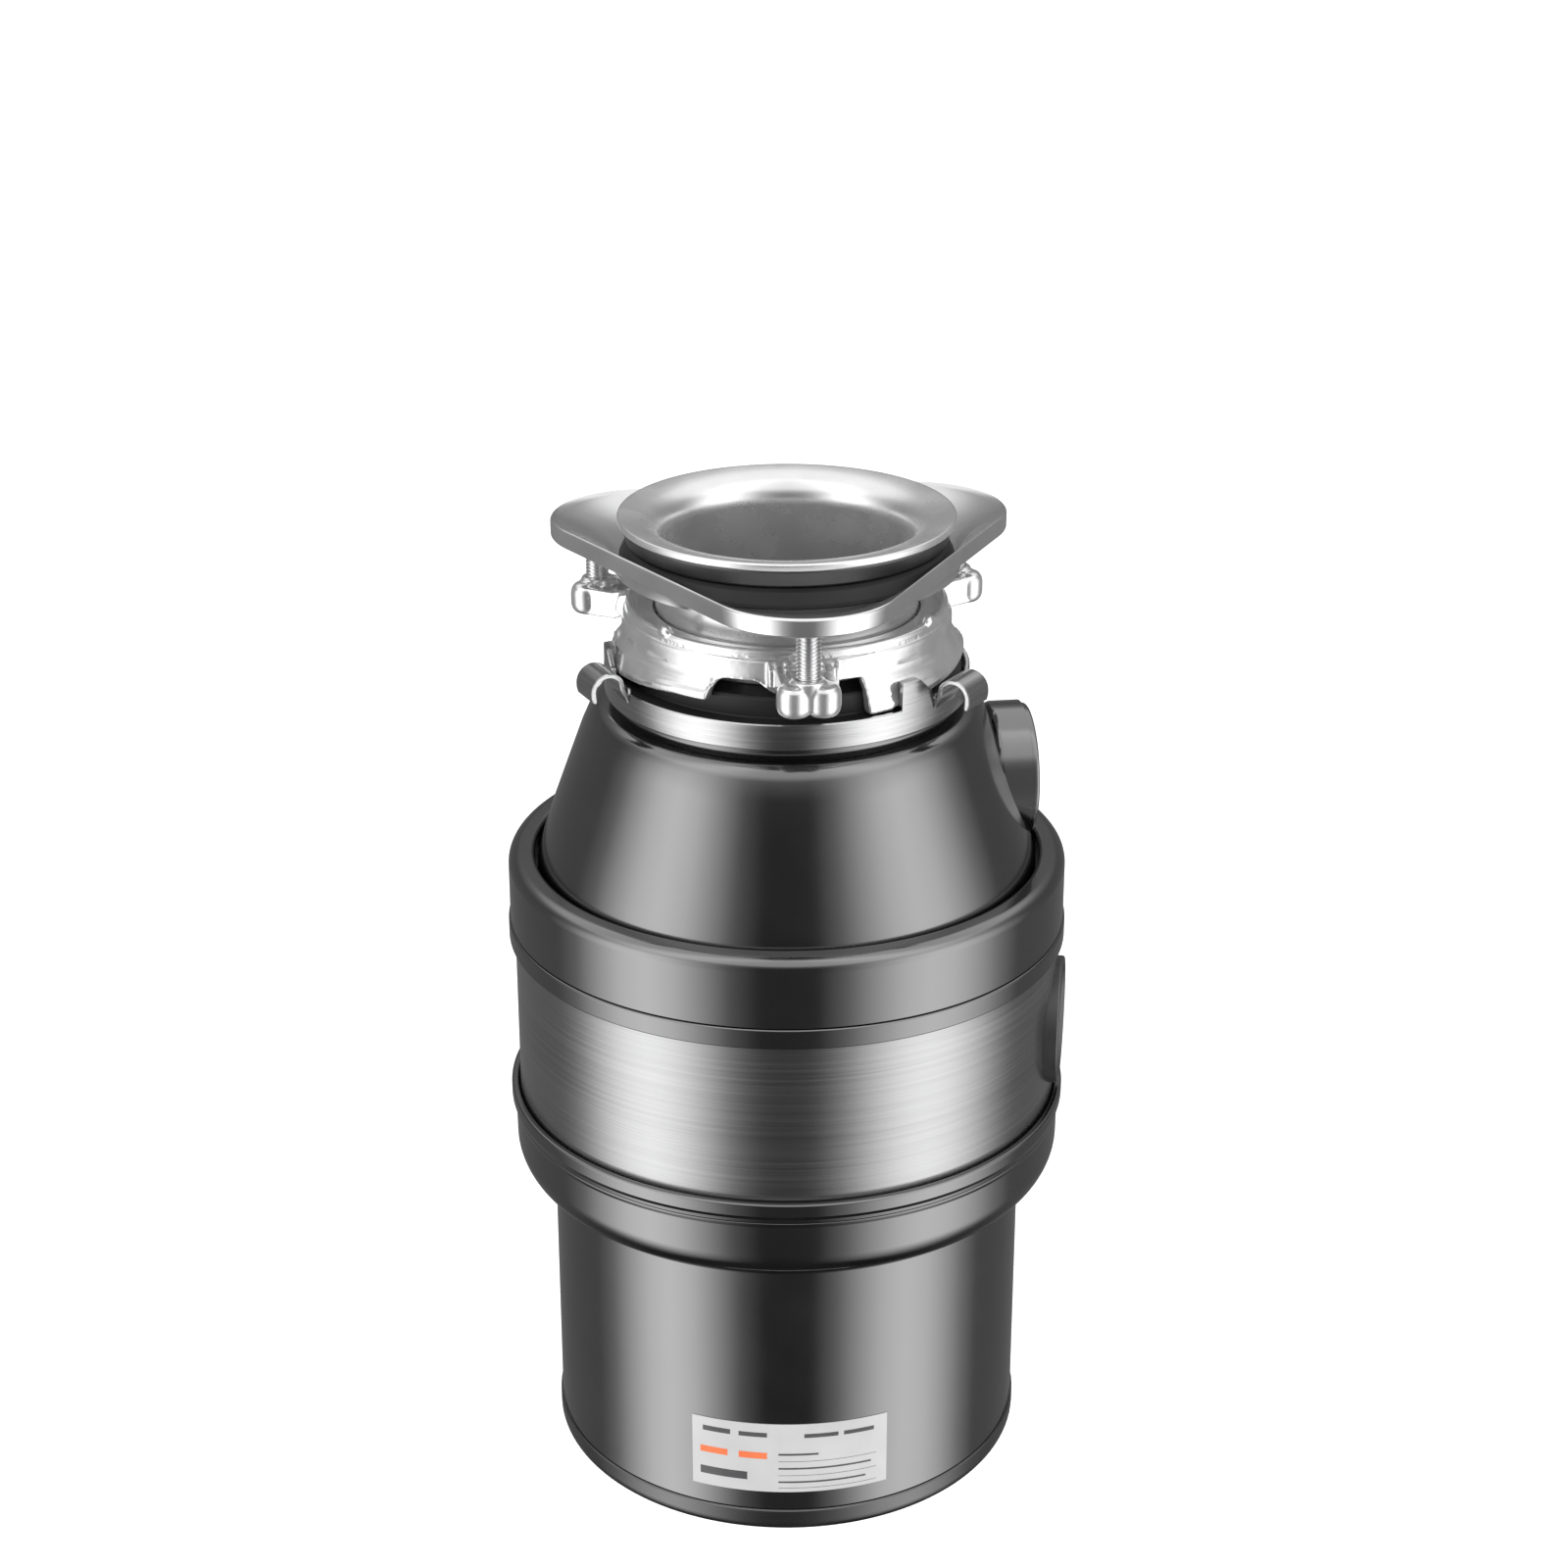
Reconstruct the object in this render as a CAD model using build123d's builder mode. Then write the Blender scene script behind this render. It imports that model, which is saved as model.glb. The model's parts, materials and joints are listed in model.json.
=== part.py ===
from build123d import *
import math
import os

os.makedirs("parts", exist_ok=True)

# ---------------------------------------------------------------- driving dimensions (mm)
# frame: origin on the motor axis at the base plane, +Z up, +X along the discharge outlet

# sink mount
RIM_R, RIM_TOP = 57.0, 350.0          # 114 mm strainer rim
NECK_IN, NECK_OUT = 42.4, 44.6        # sink flange throat for a 90 mm sink hole
NECK_BOTTOM = 304.2
SNAP_Z0, SNAP_Z1 = 312.8, 315.4       # retaining ring groove
DISH_Z = 334.5                        # backing flange seat height
EAR_R = 72.5                          # clamp screw circle
SIDE_DIST, TIP_R = 58.9, 86.0         # backing flange, axis to the middle of a side and to a corner
FLANGE_TOP = 341.6
BOSS_ANGLES = (-76.4, 43.6, 163.6)    # clamp screw positions
SCREW_R, SCREW_PITCH = 4.0, 1.25      # M8 clamp screws
RAMP_A0, RAMP_A1, RAMP_A2 = 21.6, 76.0, 88.6   # ramp start, top of slope, end (from a boss)
RAMP_Z0, RAMP_Z1 = 297.1, 302.4       # ramp underside at its start and end
RAMP_T = 2.6
SKIRT_IN, SKIRT_OUT, RAMP_R = 55.6, 58.6, 60.2
WALL_IN, WALL_OUT = 52.7, 55.8        # mounting ring wall above the flared skirt
# twist lock ring
LOCK_IN, LOCK_OUT = 60.7, 62.4
LOCK_Z0, LOCK_Z1 = 288.2, 297.2
TAB_A0, TAB_A1, TAB_TOP = 30.4, 40.6, 306.8
LUG_A, LUG_Z, LUG_RAD, LUG_W = 51.6, 299.5, 6.05, 13.2
LUG_LEG = 63.2                        # inner face of a lug where its curl starts
# container, shells and band
FLANGE_Z = 213.0                      # joint between container and discharge chamber
SHELL_R, BAND_R, TRIM_R, LIP_R = 97.2, 95.7, 97.8, 98.9
BAND_Z0, BAND_Z1 = 136.0, 201.5
BOWL_R, BOWL_Z0, BOWL_Z1 = 97.4, 108.0, 133.4
CAN_R, CAN_WALL, CAN_Z0, CAN_Z1 = 84.2, 2.0, 9.5, 112.0
COVER_R = 84.9
# ports
OUT_Z, OUT_BORE, OUT_TUBE, OUT_RIM = 167.0, 19.0, 21.0, 22.5
INLET_A, INLET_Z, INLET_R, INLET_BORE = 15.5, 253.0, 24.0, 20.0
INLET_FACE, INLET_END = 82.5, 84.9
# rotor
SHAFT_R, SHAFT_LOW, SHAFT_TOP_R = 8.5, 6.0, 7.0
PLATE_R, PLATE_Z0, PLATE_Z1 = 75.5, 192.0, 195.0
PIVOT_R, PIN_R = 44.0, 4.0
LABEL_A, LABEL_W, LABEL_Z0, LABEL_Z1 = -81.0, 70.0, 17.0, 45.0


def radial_plane(deg):
    """Plane holding the axis: local x is radial at this angle, local y is +Z."""
    c, s = math.cos(math.radians(deg)), math.sin(math.radians(deg))
    return Plane(origin=(0, 0, 0), x_dir=(c, s, 0), z_dir=(s, -c, 0))


def polar(r, deg, z=0.0):
    return (r * math.cos(math.radians(deg)), r * math.sin(math.radians(deg)), z)


# ---------------------------------------------------------------- sink flange and gaskets
with BuildPart() as sink_flange:
    with BuildSketch(Plane.XZ):
        with BuildLine():
            Polyline((NECK_IN, NECK_BOTTOM), (NECK_IN, 339.0))
            Spline((NECK_IN, 339.0), (43.5, 344.2), (46.6, 347.8), (51.0, 349.35), (56.0, RIM_TOP - 0.15),
                   tangents=((0, 1), (1, 0.1)))
            Polyline((56.0, RIM_TOP - 0.15), (RIM_R, 349.2), (RIM_R, 347.9), (56.4, 347.3),
                     (48.2, 347.3), (45.8, 345.2), (NECK_OUT, 342.0), (NECK_OUT, SNAP_Z1),
                     (NECK_OUT - 1.1, SNAP_Z1), (NECK_OUT - 1.1, SNAP_Z0), (NECK_OUT, SNAP_Z0),
                     (NECK_OUT, NECK_BOTTOM), (NECK_IN, NECK_BOTTOM))
        make_face()
    revolve(axis=Axis.Z)

with BuildPart() as sink_gasket:
    with BuildSketch(Plane.XZ):
        with BuildLine():
            Polyline((46.2, 341.1), (53.6, 341.1), (54.2, 341.7), (55.5, 346.6), (55.3, 347.3),
                     (48.4, 347.3), (46.2, 345.2), (46.2, 341.1))
        make_face()
    revolve(axis=Axis.Z)

with BuildPart() as fibre_gasket:
    with BuildSketch(Plane.XZ):
        with BuildLine():
            Polyline((45.6, DISH_Z), (56.6, DISH_Z), (56.6, 336.3), (54.4, 340.2), (53.4, 340.8),
                     (45.6, 340.8), (45.6, DISH_Z))
        make_face()
    revolve(axis=Axis.Z)

# ---------------------------------------------------------------- backing flange
# a pan with a rounded triangular rim: a flat round floor carries the gasket, and the sides rise
# steeply at the middle of each side and gently towards the three corners
CORNER_RAD = 2 * SIDE_DIST - TIP_R
CORNER_R = TIP_R - CORNER_RAD
SPLIT = math.degrees(math.atan2(CORNER_RAD * math.sin(math.radians(60)), CORNER_R + CORNER_RAD * 0.5))


def around(a, deg, r):
    """A point at distance r, in direction deg, from the centre of the corner at angle a."""
    cx, cy, _ = polar(CORNER_R, a)
    x, y, _ = polar(r, deg)
    return (cx + x, cy + y)


def rim_outline(off=0.0):
    r = CORNER_RAD - off
    for a in BOSS_ANGLES:
        ThreePointArc(around(a, a - 60, r), around(a, a, r), around(a, a + 60, r))
        Line(around(a, a + 60, r), around(a + 120, a + 60, r))


def round_outline(r):
    for a in BOSS_ANGLES:
        ThreePointArc(polar(r, a - SPLIT)[:2], polar(r, a)[:2], polar(r, a + SPLIT)[:2])
        ThreePointArc(polar(r, a + SPLIT)[:2], polar(r, a + 60)[:2], polar(r, a + 120 - SPLIT)[:2])


with BuildPart() as flange_dish:
    with BuildSketch(Plane.XY.offset(DISH_Z)):
        with BuildLine():
            round_outline(57.0)
        make_face()
    with BuildSketch(Plane.XY.offset(FLANGE_TOP + 0.2)):
        with BuildLine():
            rim_outline(1.4)
        make_face()
    loft(ruled=True)

with BuildPart() as backup_flange:
    with BuildSketch(Plane.XY.offset(331.9)):
        with BuildLine():
            round_outline(58.6)
        make_face()
    with BuildSketch(Plane.XY.offset(338.8)):
        with BuildLine():
            rim_outline()
        make_face()
    loft(ruled=True)
    with BuildSketch(Plane.XY.offset(338.8)):
        with BuildLine():
            rim_outline()
        make_face()
    extrude(amount=FLANGE_TOP - 338.8)
    with BuildSketch(Plane.XY.offset(335.2)):
        with BuildLine():
            rim_outline()
        make_face()
        with BuildLine():
            rim_outline(2.2)
        make_face(mode=Mode.SUBTRACT)
    extrude(amount=4.0)
    add(flange_dish.part, mode=Mode.SUBTRACT)
    with BuildSketch(Plane.XY.offset(320)):
        Circle(45.6)
    extrude(amount=30, mode=Mode.SUBTRACT)

# ---------------------------------------------------------------- clamp screws (M8, slotted lower end)
screws = {}
for name, a in zip("abc", BOSS_ANGLES):
    x, y, _ = polar(EAR_R, a)
    with BuildPart() as screw:
        with BuildSketch(Plane(origin=(x, y, 0), x_dir=(1, 0, 0), z_dir=(0, -1, 0))):
            with BuildLine():
                pts = [(0, 305.9), (SCREW_R - 0.8, 305.9), (SCREW_R, 306.7), (SCREW_R, 317.0)]
                z = 317.0
                while z < 331.0:
                    pts += [(SCREW_R - 0.65, z + SCREW_PITCH / 2), (SCREW_R, z + SCREW_PITCH)]
                    z += SCREW_PITCH
                pts += [(SCREW_R - 0.6, z + 0.6), (1.6, 334.5), (0, 334.5)]
                Polyline(*pts, close=True)
            make_face()
        revolve(axis=Axis((x, y, 0), (0, 0, 1)))
        with BuildSketch(Plane(origin=(x, y, 305.9))):
            Rectangle(9, 1.4)
        extrude(amount=2.0, mode=Mode.SUBTRACT)
    screws[name] = screw

# ---------------------------------------------------------------- retaining ring in the neck groove
with BuildPart() as snap_ring:
    with BuildSketch(Plane.XY.offset(SNAP_Z0 + 0.1)):
        Circle(47.6)
        Circle(NECK_OUT - 1.0, mode=Mode.SUBTRACT)
        with Locations(polar(45.5, 103.6)[:2]):
            Rectangle(6, 6, rotation=103.6, mode=Mode.SUBTRACT)
    extrude(amount=SNAP_Z1 - SNAP_Z0 - 0.2)

# ---------------------------------------------------------------- cast mounting ring
slope_tools, lip_tools = [], []
for b in BOSS_ANGLES:
    mid = b + (RAMP_A0 + RAMP_A1) / 2
    p0 = Vector(*polar(SKIRT_OUT, b + RAMP_A0, RAMP_Z0))
    p1 = Vector(*polar(SKIRT_OUT, b + RAMP_A1, RAMP_Z1))
    along = (p1 - p0).normalized()
    outward = Vector(*polar(1, mid))
    up = outward.cross(along)
    under = Plane(origin=(p0 + p1) * 0.5, x_dir=outward, z_dir=up)
    # what lies below the sloped underside of a ramp
    with BuildPart() as below:
        with BuildSketch(radial_plane(b + RAMP_A0)):
            with Locations((58.0, 300.0)):
                Rectangle(24, 30)
        revolve(axis=Axis.Z, revolution_arc=RAMP_A1 - RAMP_A0)
        with BuildSketch(under):
            Rectangle(60, 90)
        extrude(amount=40, mode=Mode.SUBTRACT)
    # what lies above the sloped lip that the lock ring's tabs run on
    with BuildPart() as above:
        with BuildSketch(radial_plane(b + RAMP_A0)):
            with Locations((58.0, 312.0)):
                Rectangle(24, 30)
        revolve(axis=Axis.Z, revolution_arc=RAMP_A1 - RAMP_A0)
        with BuildSketch(under.offset(RAMP_T)):
            Rectangle(60, 90)
        extrude(amount=-40, mode=Mode.SUBTRACT)
    slope_tools.append(below.part)
    lip_tools.append(above.part)

with BuildPart() as ramp_lips:
    with BuildSketch(Plane.XZ):
        with Locations((58.7, 302.0)):
            Rectangle(3.0, 20.0)
    revolve(axis=Axis.Z)
    for low, high in zip(slope_tools, lip_tools):
        add(low, mode=Mode.SUBTRACT)
        add(high, mode=Mode.SUBTRACT)
    for b in BOSS_ANGLES:
        with BuildSketch(radial_plane(b + RAMP_A1)):
            with Locations((58.7, RAMP_Z1 - 10), (58.7, RAMP_Z1 + RAMP_T + 10)):
                Rectangle(6.0, 20.0)
        revolve(axis=Axis.Z, revolution_arc=RAMP_A2 - RAMP_A1, mode=Mode.SUBTRACT)
        with BuildSketch(radial_plane(b + RAMP_A2)):
            with Locations((58.7, 302.0)):
                Rectangle(6.0, 30.0)
        revolve(axis=Axis.Z, revolution_arc=120 + RAMP_A0 - RAMP_A2, mode=Mode.SUBTRACT)

with BuildPart() as mounting_ring:
    with BuildSketch(Plane.XZ):
        with BuildLine():
            Polyline((45.2, SNAP_Z1), (45.2, 317.6), (45.8, 318.2), (51.0, 318.2), (51.6, 319.2),
                     (52.8, 319.7), (54.1, 319.1), (54.6, 317.9), (54.4, 317.0), (55.3, 316.7),
                     (WALL_OUT, 315.8), (WALL_OUT, 309.8), (56.6, 308.4), (58.0, 307.2),
                     (SKIRT_OUT, 305.8), (SKIRT_OUT, 292.0), (SKIRT_IN, 292.0), (SKIRT_IN, 305.4),
                     (WALL_IN, 308.4), (WALL_IN, SNAP_Z1), close=True)
        make_face()
    revolve(axis=Axis.Z)
    for low in slope_tools:
        add(low, mode=Mode.SUBTRACT)
    for b in BOSS_ANGLES:
        with BuildSketch(radial_plane(b + RAMP_A1)):
            with Locations((57.0, RAMP_Z1 - 10)):
                Rectangle(8.0, 20.0)
        revolve(axis=Axis.Z, revolution_arc=RAMP_A2 - RAMP_A1, mode=Mode.SUBTRACT)
        with BuildSketch(radial_plane(b + RAMP_A2)):
            with Locations((57.0, 308.8 - 10)):
                Rectangle(10.0, 20.0)
        revolve(axis=Axis.Z, revolution_arc=120 + RAMP_A0 - RAMP_A2, mode=Mode.SUBTRACT)
    add(ramp_lips.part)
    for a in BOSS_ANGLES:
        # arm from the skirt to the screw boss
        with BuildSketch(radial_plane(a)):
            with BuildLine():
                Polyline((54.2, 309.6), (58.6, 306.6), (61.0, 305.7), (74.0, 305.7), (74.0, 315.4),
                         (60.0, 315.6), (57.0, 316.2), (54.2, 316.0), close=True)
            make_face()
        extrude(amount=9.2, both=True)
        # two-lobed boss
        with BuildSketch(Plane.XY.offset(305.2)):
            t = math.radians(a + 90)
            cx, cy, _ = polar(EAR_R + 1.5, a)
            with Locations((cx + 4.6 * math.cos(t), cy + 4.6 * math.sin(t)),
                           (cx - 4.6 * math.cos(t), cy - 4.6 * math.sin(t))):
                Circle(5.9)
        extrude(amount=10.8)
    with BuildSketch(Plane.XY.offset(298.0)):
        with Locations(*[polar(EAR_R, a)[:2] for a in BOSS_ANGLES]):
            Circle(SCREW_R + 0.06)
    extrude(amount=22, mode=Mode.SUBTRACT)

# ---------------------------------------------------------------- twist lock ring
with BuildPart() as lock_ring:
    with BuildSketch(Plane.XZ):
        with BuildLine():
            Polyline((56.8, LOCK_Z0), (LOCK_OUT, LOCK_Z0), (LOCK_OUT, TAB_TOP), (58.95, TAB_TOP),
                     (58.95, 304.6), (LOCK_IN, 304.6), (LOCK_IN, LOCK_Z0 + 2.0), (56.8, LOCK_Z0 + 2.0),
                     close=True)
        make_face()
    revolve(axis=Axis.Z)
    for b in BOSS_ANGLES:
        with BuildSketch(radial_plane(b + TAB_A1)):
            with Locations((60.0, LOCK_Z1 + 10)):
                Rectangle(12.0, 20.0)
        revolve(axis=Axis.Z, revolution_arc=120 - TAB_A1 + TAB_A0, mode=Mode.SUBTRACT)
    for b in BOSS_ANGLES:
        # rolled lug: the wall rises and curls outward over a tangential axis
        with BuildSketch(radial_plane(b + LUG_A)):
            with BuildLine():
                rc = LUG_LEG + LUG_RAD
                Polyline((LUG_LEG + 1.7, LUG_Z), (LOCK_IN + 1.95, LOCK_Z1 - 3.0),
                         (LOCK_IN + 0.25, LOCK_Z1 - 3.0), (LUG_LEG, LUG_Z))
                ThreePointArc((LUG_LEG, LUG_Z), (rc, LUG_Z + LUG_RAD), (rc + LUG_RAD, LUG_Z))
                Polyline((rc + LUG_RAD, LUG_Z), (rc + LUG_RAD - 0.3, LUG_Z - 3.6),
                         (rc + LUG_RAD - 2.0, LUG_Z - 3.4), (rc + LUG_RAD - 1.7, LUG_Z))
                ThreePointArc((rc + LUG_RAD - 1.7, LUG_Z), (rc, LUG_Z + LUG_RAD - 1.7),
                              (LUG_LEG + 1.7, LUG_Z))
            make_face()
        extrude(amount=LUG_W / 2, both=True)

# ---------------------------------------------------------------- rubber mounting gasket and splash guard
with BuildPart() as mounting_gasket:
    with BuildSketch(Plane.XZ):
        with BuildLine():
            Polyline((41.6, 294.1), (59.8, 294.1), (59.8, 296.3), (55.2, 296.9), (55.2, 303.4),
                     (54.4, 304.1), (41.6, 304.1), close=True)
        make_face()
    revolve(axis=Axis.Z)

with BuildPart() as splash_guard:
    with BuildSketch(Plane.XZ):
        with BuildLine():
            Polyline((12.0, 295.2), (36.0, 298.0), (38.0, 299.0), (41.5, 299.0), (41.5, 301.0),
                     (37.0, 301.0), (35.0, 299.8), (12.0, 296.8), close=True)
        make_face()
    revolve(axis=Axis.Z)
    with BuildSketch(Plane.XY.offset(292)):
        with PolarLocations(23.5, 8, start_angle=11):
            Rectangle(24, 1.2)
    extrude(amount=12, mode=Mode.SUBTRACT)

# ---------------------------------------------------------------- container with dishwasher inlet
with BuildPart() as inlet_boss:
    with BuildSketch(Plane(origin=polar(62, INLET_A, INLET_Z), x_dir=(0, 0, 1),
                           z_dir=polar(1, INLET_A))):
        Circle(INLET_R)
    extrude(amount=INLET_FACE - 62)
    with BuildSketch(Plane.XZ):
        with BuildLine():
            Polyline((0, 215), (79.4, 215), (79.0, 228), (73.8, 246), (68.2, 260), (63.0, 274),
                     (60.0, 279), (0, 281), close=True)
        make_face()
    revolve(axis=Axis.Z, mode=Mode.SUBTRACT)

with BuildPart() as hopper:
    with BuildSketch(Plane.XZ):
        with BuildLine():
            Polyline((46.0, 294.0), (60.0, 294.0), (60.0, 290.6), (56.4, 290.6), (56.4, 287.9),
                     (58.4, 287.9), (58.4, 285.0), (62.5, 284.6))
            Spline((62.5, 284.6), (66.2, 282.6), (69.4, 277.6), tangents=((1, 0), (0.42, -1)))
            Spline((69.4, 277.6), (75.9, 260.0), (81.4, 245.0), (86.6, 228.0),
                   tangents=((0.36, -1), (0.26, -1)))
            Spline((86.6, 228.0), (87.0, 225.4), (87.0, 220.0), tangents=((0.26, -1), (0, -1)))
            Polyline((87.0, 220.0), (87.0, FLANGE_Z + 3), (93.0, FLANGE_Z + 3), (93.0, FLANGE_Z),
                     (83.0, FLANGE_Z), (83.0, 221.0))
            Polyline((83.0, 221.0), (82.6, 228.0), (77.4, 245.0), (71.9, 260.0), (66.2, 275.2),
                     (63.4, 279.6), (60.0, 281.6), (56.0, 281.6))
            Polyline((56.0, 281.6), (52.5, 282.4), (52.5, 286.5), (46.0, 288.5), (46.0, 294.0))
        make_face()
    revolve(axis=Axis.Z)
    add(inlet_boss.part)
    # seat of the inlet cap, and the way through the wall
    with BuildSketch(Plane(origin=polar(INLET_FACE, INLET_A, INLET_Z), x_dir=(0, 0, 1),
                           z_dir=polar(1, INLET_A))):
        Circle(INLET_R + 0.4)
    extrude(amount=20, mode=Mode.SUBTRACT)
    with BuildSketch(Plane(origin=polar(50, INLET_A, INLET_Z), x_dir=(0, 0, 1),
                           z_dir=polar(1, INLET_A))):
        Circle(INLET_BORE)
    extrude(amount=40, mode=Mode.SUBTRACT)
    with BuildSketch(Plane.XY.offset(FLANGE_Z - 1)):
        with PolarLocations(90.2, 6, start_angle=30):
            Circle(1.52)
    extrude(amount=3.4, mode=Mode.SUBTRACT)

with BuildPart() as dishwasher_cap:
    with BuildSketch(Plane(origin=polar(INLET_FACE + 0.05, INLET_A, INLET_Z), x_dir=(0, 0, 1),
                           z_dir=polar(1, INLET_A))):
        Circle(INLET_R - 1.1)
    extrude(amount=INLET_END - INLET_FACE - 0.05)
    fillet(dishwasher_cap.edges().filter_by(GeomType.CIRCLE).sort_by(
        Axis((0, 0, 0), polar(1, INLET_A)))[-1], radius=1.6)
    with BuildSketch(Plane(origin=polar(77.5, INLET_A, INLET_Z), x_dir=(0, 0, 1),
                           z_dir=polar(1, INLET_A))):
        Circle(INLET_BORE - 0.3)
        Circle(INLET_BORE - 3.0, mode=Mode.SUBTRACT)
    extrude(amount=INLET_FACE - 77.0)

# ---------------------------------------------------------------- shells, trims and band
with BuildPart() as upper_shell:
    with BuildSketch(Plane.XZ):
        with BuildLine():
            Polyline((88.0, FLANGE_Z + 3.1), (88.0, 228.2))
            ThreePointArc((88.0, 228.2), (88.45, 229.25), (89.5, 229.7))
            Line((89.5, 229.7), (91.0, 229.7))
            ThreePointArc((91.0, 229.7), (95.4, 227.9), (SHELL_R, 223.4))
            Polyline((SHELL_R, 223.4), (SHELL_R, 205.3), (94.2, 205.3), (94.2, 223.2))
            ThreePointArc((94.2, 223.2), (93.2, 225.8), (90.8, 226.8))
            Polyline((90.8, 226.8), (90.4, 226.4), (90.4, FLANGE_Z + 3.1), (88.0, FLANGE_Z + 3.1))
        make_face()
    revolve(axis=Axis.Z)

with BuildPart() as upper_trim_ring:
    with BuildSketch(Plane.XZ):
        with BuildLine():
            Polyline((95.8, 198.2), (97.2, 198.2), (TRIM_R, 198.8), (TRIM_R, 204.6), (97.2, 205.3),
                     (93.6, 205.3), (93.6, BAND_Z1 + 0.1), (95.8, BAND_Z1 + 0.1), close=True)
        make_face()
    revolve(axis=Axis.Z)

with BuildPart() as steel_band:
    with BuildSketch(Plane.XY.offset(BAND_Z0)):
        Circle(BAND_R)
        Circle(BAND_R - 1.0, mode=Mode.SUBTRACT)
    extrude(amount=BAND_Z1 - BAND_Z0)
    with BuildSketch(Plane.YZ.offset(70)):
        with Locations((0, OUT_Z)):
            Circle(OUT_RIM + 0.1)
    extrude(amount=40, mode=Mode.SUBTRACT)

with BuildPart() as lower_trim_ring:
    with BuildSketch(Plane.XZ):
        with BuildLine():
            Polyline((93.6, BOWL_Z1 + 0.1), (98.0, BOWL_Z1 + 0.1), (98.2, 134.8), (LIP_R, 136.2),
                     (LIP_R, 140.2), (98.3, 140.9), (97.0, 140.9), (95.8, 139.4), (95.8, BAND_Z0 - 0.1),
                     (93.6, BAND_Z0 - 0.1), close=True)
        make_face()
    revolve(axis=Axis.Z)

with BuildPart() as lower_shell:
    with BuildSketch(Plane.XZ):
        with BuildLine():
            Polyline((94.4, BOWL_Z1), (98.0, BOWL_Z1), (BOWL_R, 132.4), (BOWL_R, 121.0))
            Spline(*[(84.6 + (BOWL_R - 84.6) * math.cos(math.radians(t)),
                      121.0 - (121.0 - BOWL_Z0) * math.sin(math.radians(t))) for t in (0, 22.5, 45, 67.5, 90)],
                   tangents=((0, -1), (-1, 0)))
            Polyline((84.6, BOWL_Z0), (84.35, BOWL_Z0), (84.35, 111.5))
            Spline((84.35, 111.5), (90.8, 113.6), (94.4, 121.0), tangents=((1, 0), (0, 1)))
            Line((94.4, 121.0), (94.4, BOWL_Z1))
        make_face()
    revolve(axis=Axis.Z)

with BuildPart() as motor_can:
    with BuildSketch(Plane.XZ):
        with BuildLine():
            Polyline((CAN_R - CAN_WALL, CAN_Z0), (CAN_R, CAN_Z0), (CAN_R, CAN_Z1 - 0.4),
                     (84.2, 113.9), (CAN_R - CAN_WALL, 113.9), close=True)
        make_face()
    revolve(axis=Axis.Z)
    with BuildSketch(Plane.XZ.offset(-90)):
        with Locations((0, 28)):
            Circle(6.2)
    extrude(amount=20, mode=Mode.SUBTRACT)

with BuildPart() as bottom_cover:
    with BuildSketch(Plane.XZ):
        with BuildLine():
            Polyline((0, 0), (80.4, 0))
            ThreePointArc((80.4, 0), (83.58, 1.32), (COVER_R, 4.5))
            Polyline((COVER_R, 4.5), (COVER_R, 9.0), (84.4, 9.4), (82.0, 9.4), (82.0, 14.0), (80.0, 14.0),
                     (80.0, 2.6), (0, 2.6), (0, 0))
        make_face()
    revolve(axis=Axis.Z)
    # screw posts with counterbores
    with BuildSketch(Plane.XY.offset(2.0)):
        with PolarLocations(50, 4, start_angle=20):
            Circle(6.0)
    extrude(amount=14.0)
    with BuildSketch(Plane.XY):
        with PolarLocations(50, 4, start_angle=20):
            Circle(4.4)
    extrude(amount=6.0, mode=Mode.SUBTRACT)
    with BuildSketch(Plane.XY):
        with PolarLocations(50, 4, start_angle=20):
            Circle(2.2)
    extrude(amount=18.0, mode=Mode.SUBTRACT)
    # recess of the reset button
    with BuildSketch(Plane.XY.offset(2.0)):
        with Locations((-69, 0)):
            Circle(9.6)
    extrude(amount=4.4)
    with BuildSketch(Plane.XY):
        with Locations((-69, 0)):
            Circle(8.0)
    extrude(amount=4.4, mode=Mode.SUBTRACT)
    with BuildSketch(Plane.XY):
        with Locations((-69, 0)):
            Circle(3.9)
    extrude(amount=10, mode=Mode.SUBTRACT)

with BuildPart() as rating_label:
    half = math.degrees(LABEL_W / 2 / CAN_R)
    with BuildSketch(radial_plane(LABEL_A - half)):
        with Locations((CAN_R + 0.14, (LABEL_Z0 + LABEL_Z1) / 2)):
            Rectangle(0.26, LABEL_Z1 - LABEL_Z0)
    revolve(axis=Axis.Z, revolution_arc=2 * half)

# ---------------------------------------------------------------- discharge chamber
with BuildPart() as discharge_chamber:
    with BuildSketch(Plane.XZ):
        with BuildLine():
            Polyline((13.0, 128.0), (24.0, 128.0), (24.0, 140.0), (58.0, 140.0), (58.0, 118.0),
                     (62.0, 118.0), (62.0, 140.0), (85.0, 140.0), (87.0, 142.0), (87.0, 209.0),
                     (93.0, 209.0), (93.0, 212.0), (82.0, 212.0), (82.0, 188.0), (79.5, 188.0),
                     (79.5, 146.0), (78.5, 145.0), (24.0, 145.0), (20.0, 150.0), (13.0, 150.0),
                     close=True)
        make_face()
    revolve(axis=Axis.Z)
    with BuildSketch(Plane.YZ.offset(81.0)):
        with Locations((0, OUT_Z)):
            Circle(OUT_TUBE)
    extrude(amount=96.0 - 81.0)
    with BuildSketch(Plane.YZ.offset(60)):
        with Locations((0, OUT_Z)):
            Circle(OUT_BORE)
    extrude(amount=40, mode=Mode.SUBTRACT)
    with BuildSketch(Plane.XY.offset(208)):
        with PolarLocations(90.2, 6, start_angle=30):
            Circle(1.8)
    extrude(amount=6, mode=Mode.SUBTRACT)

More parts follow.
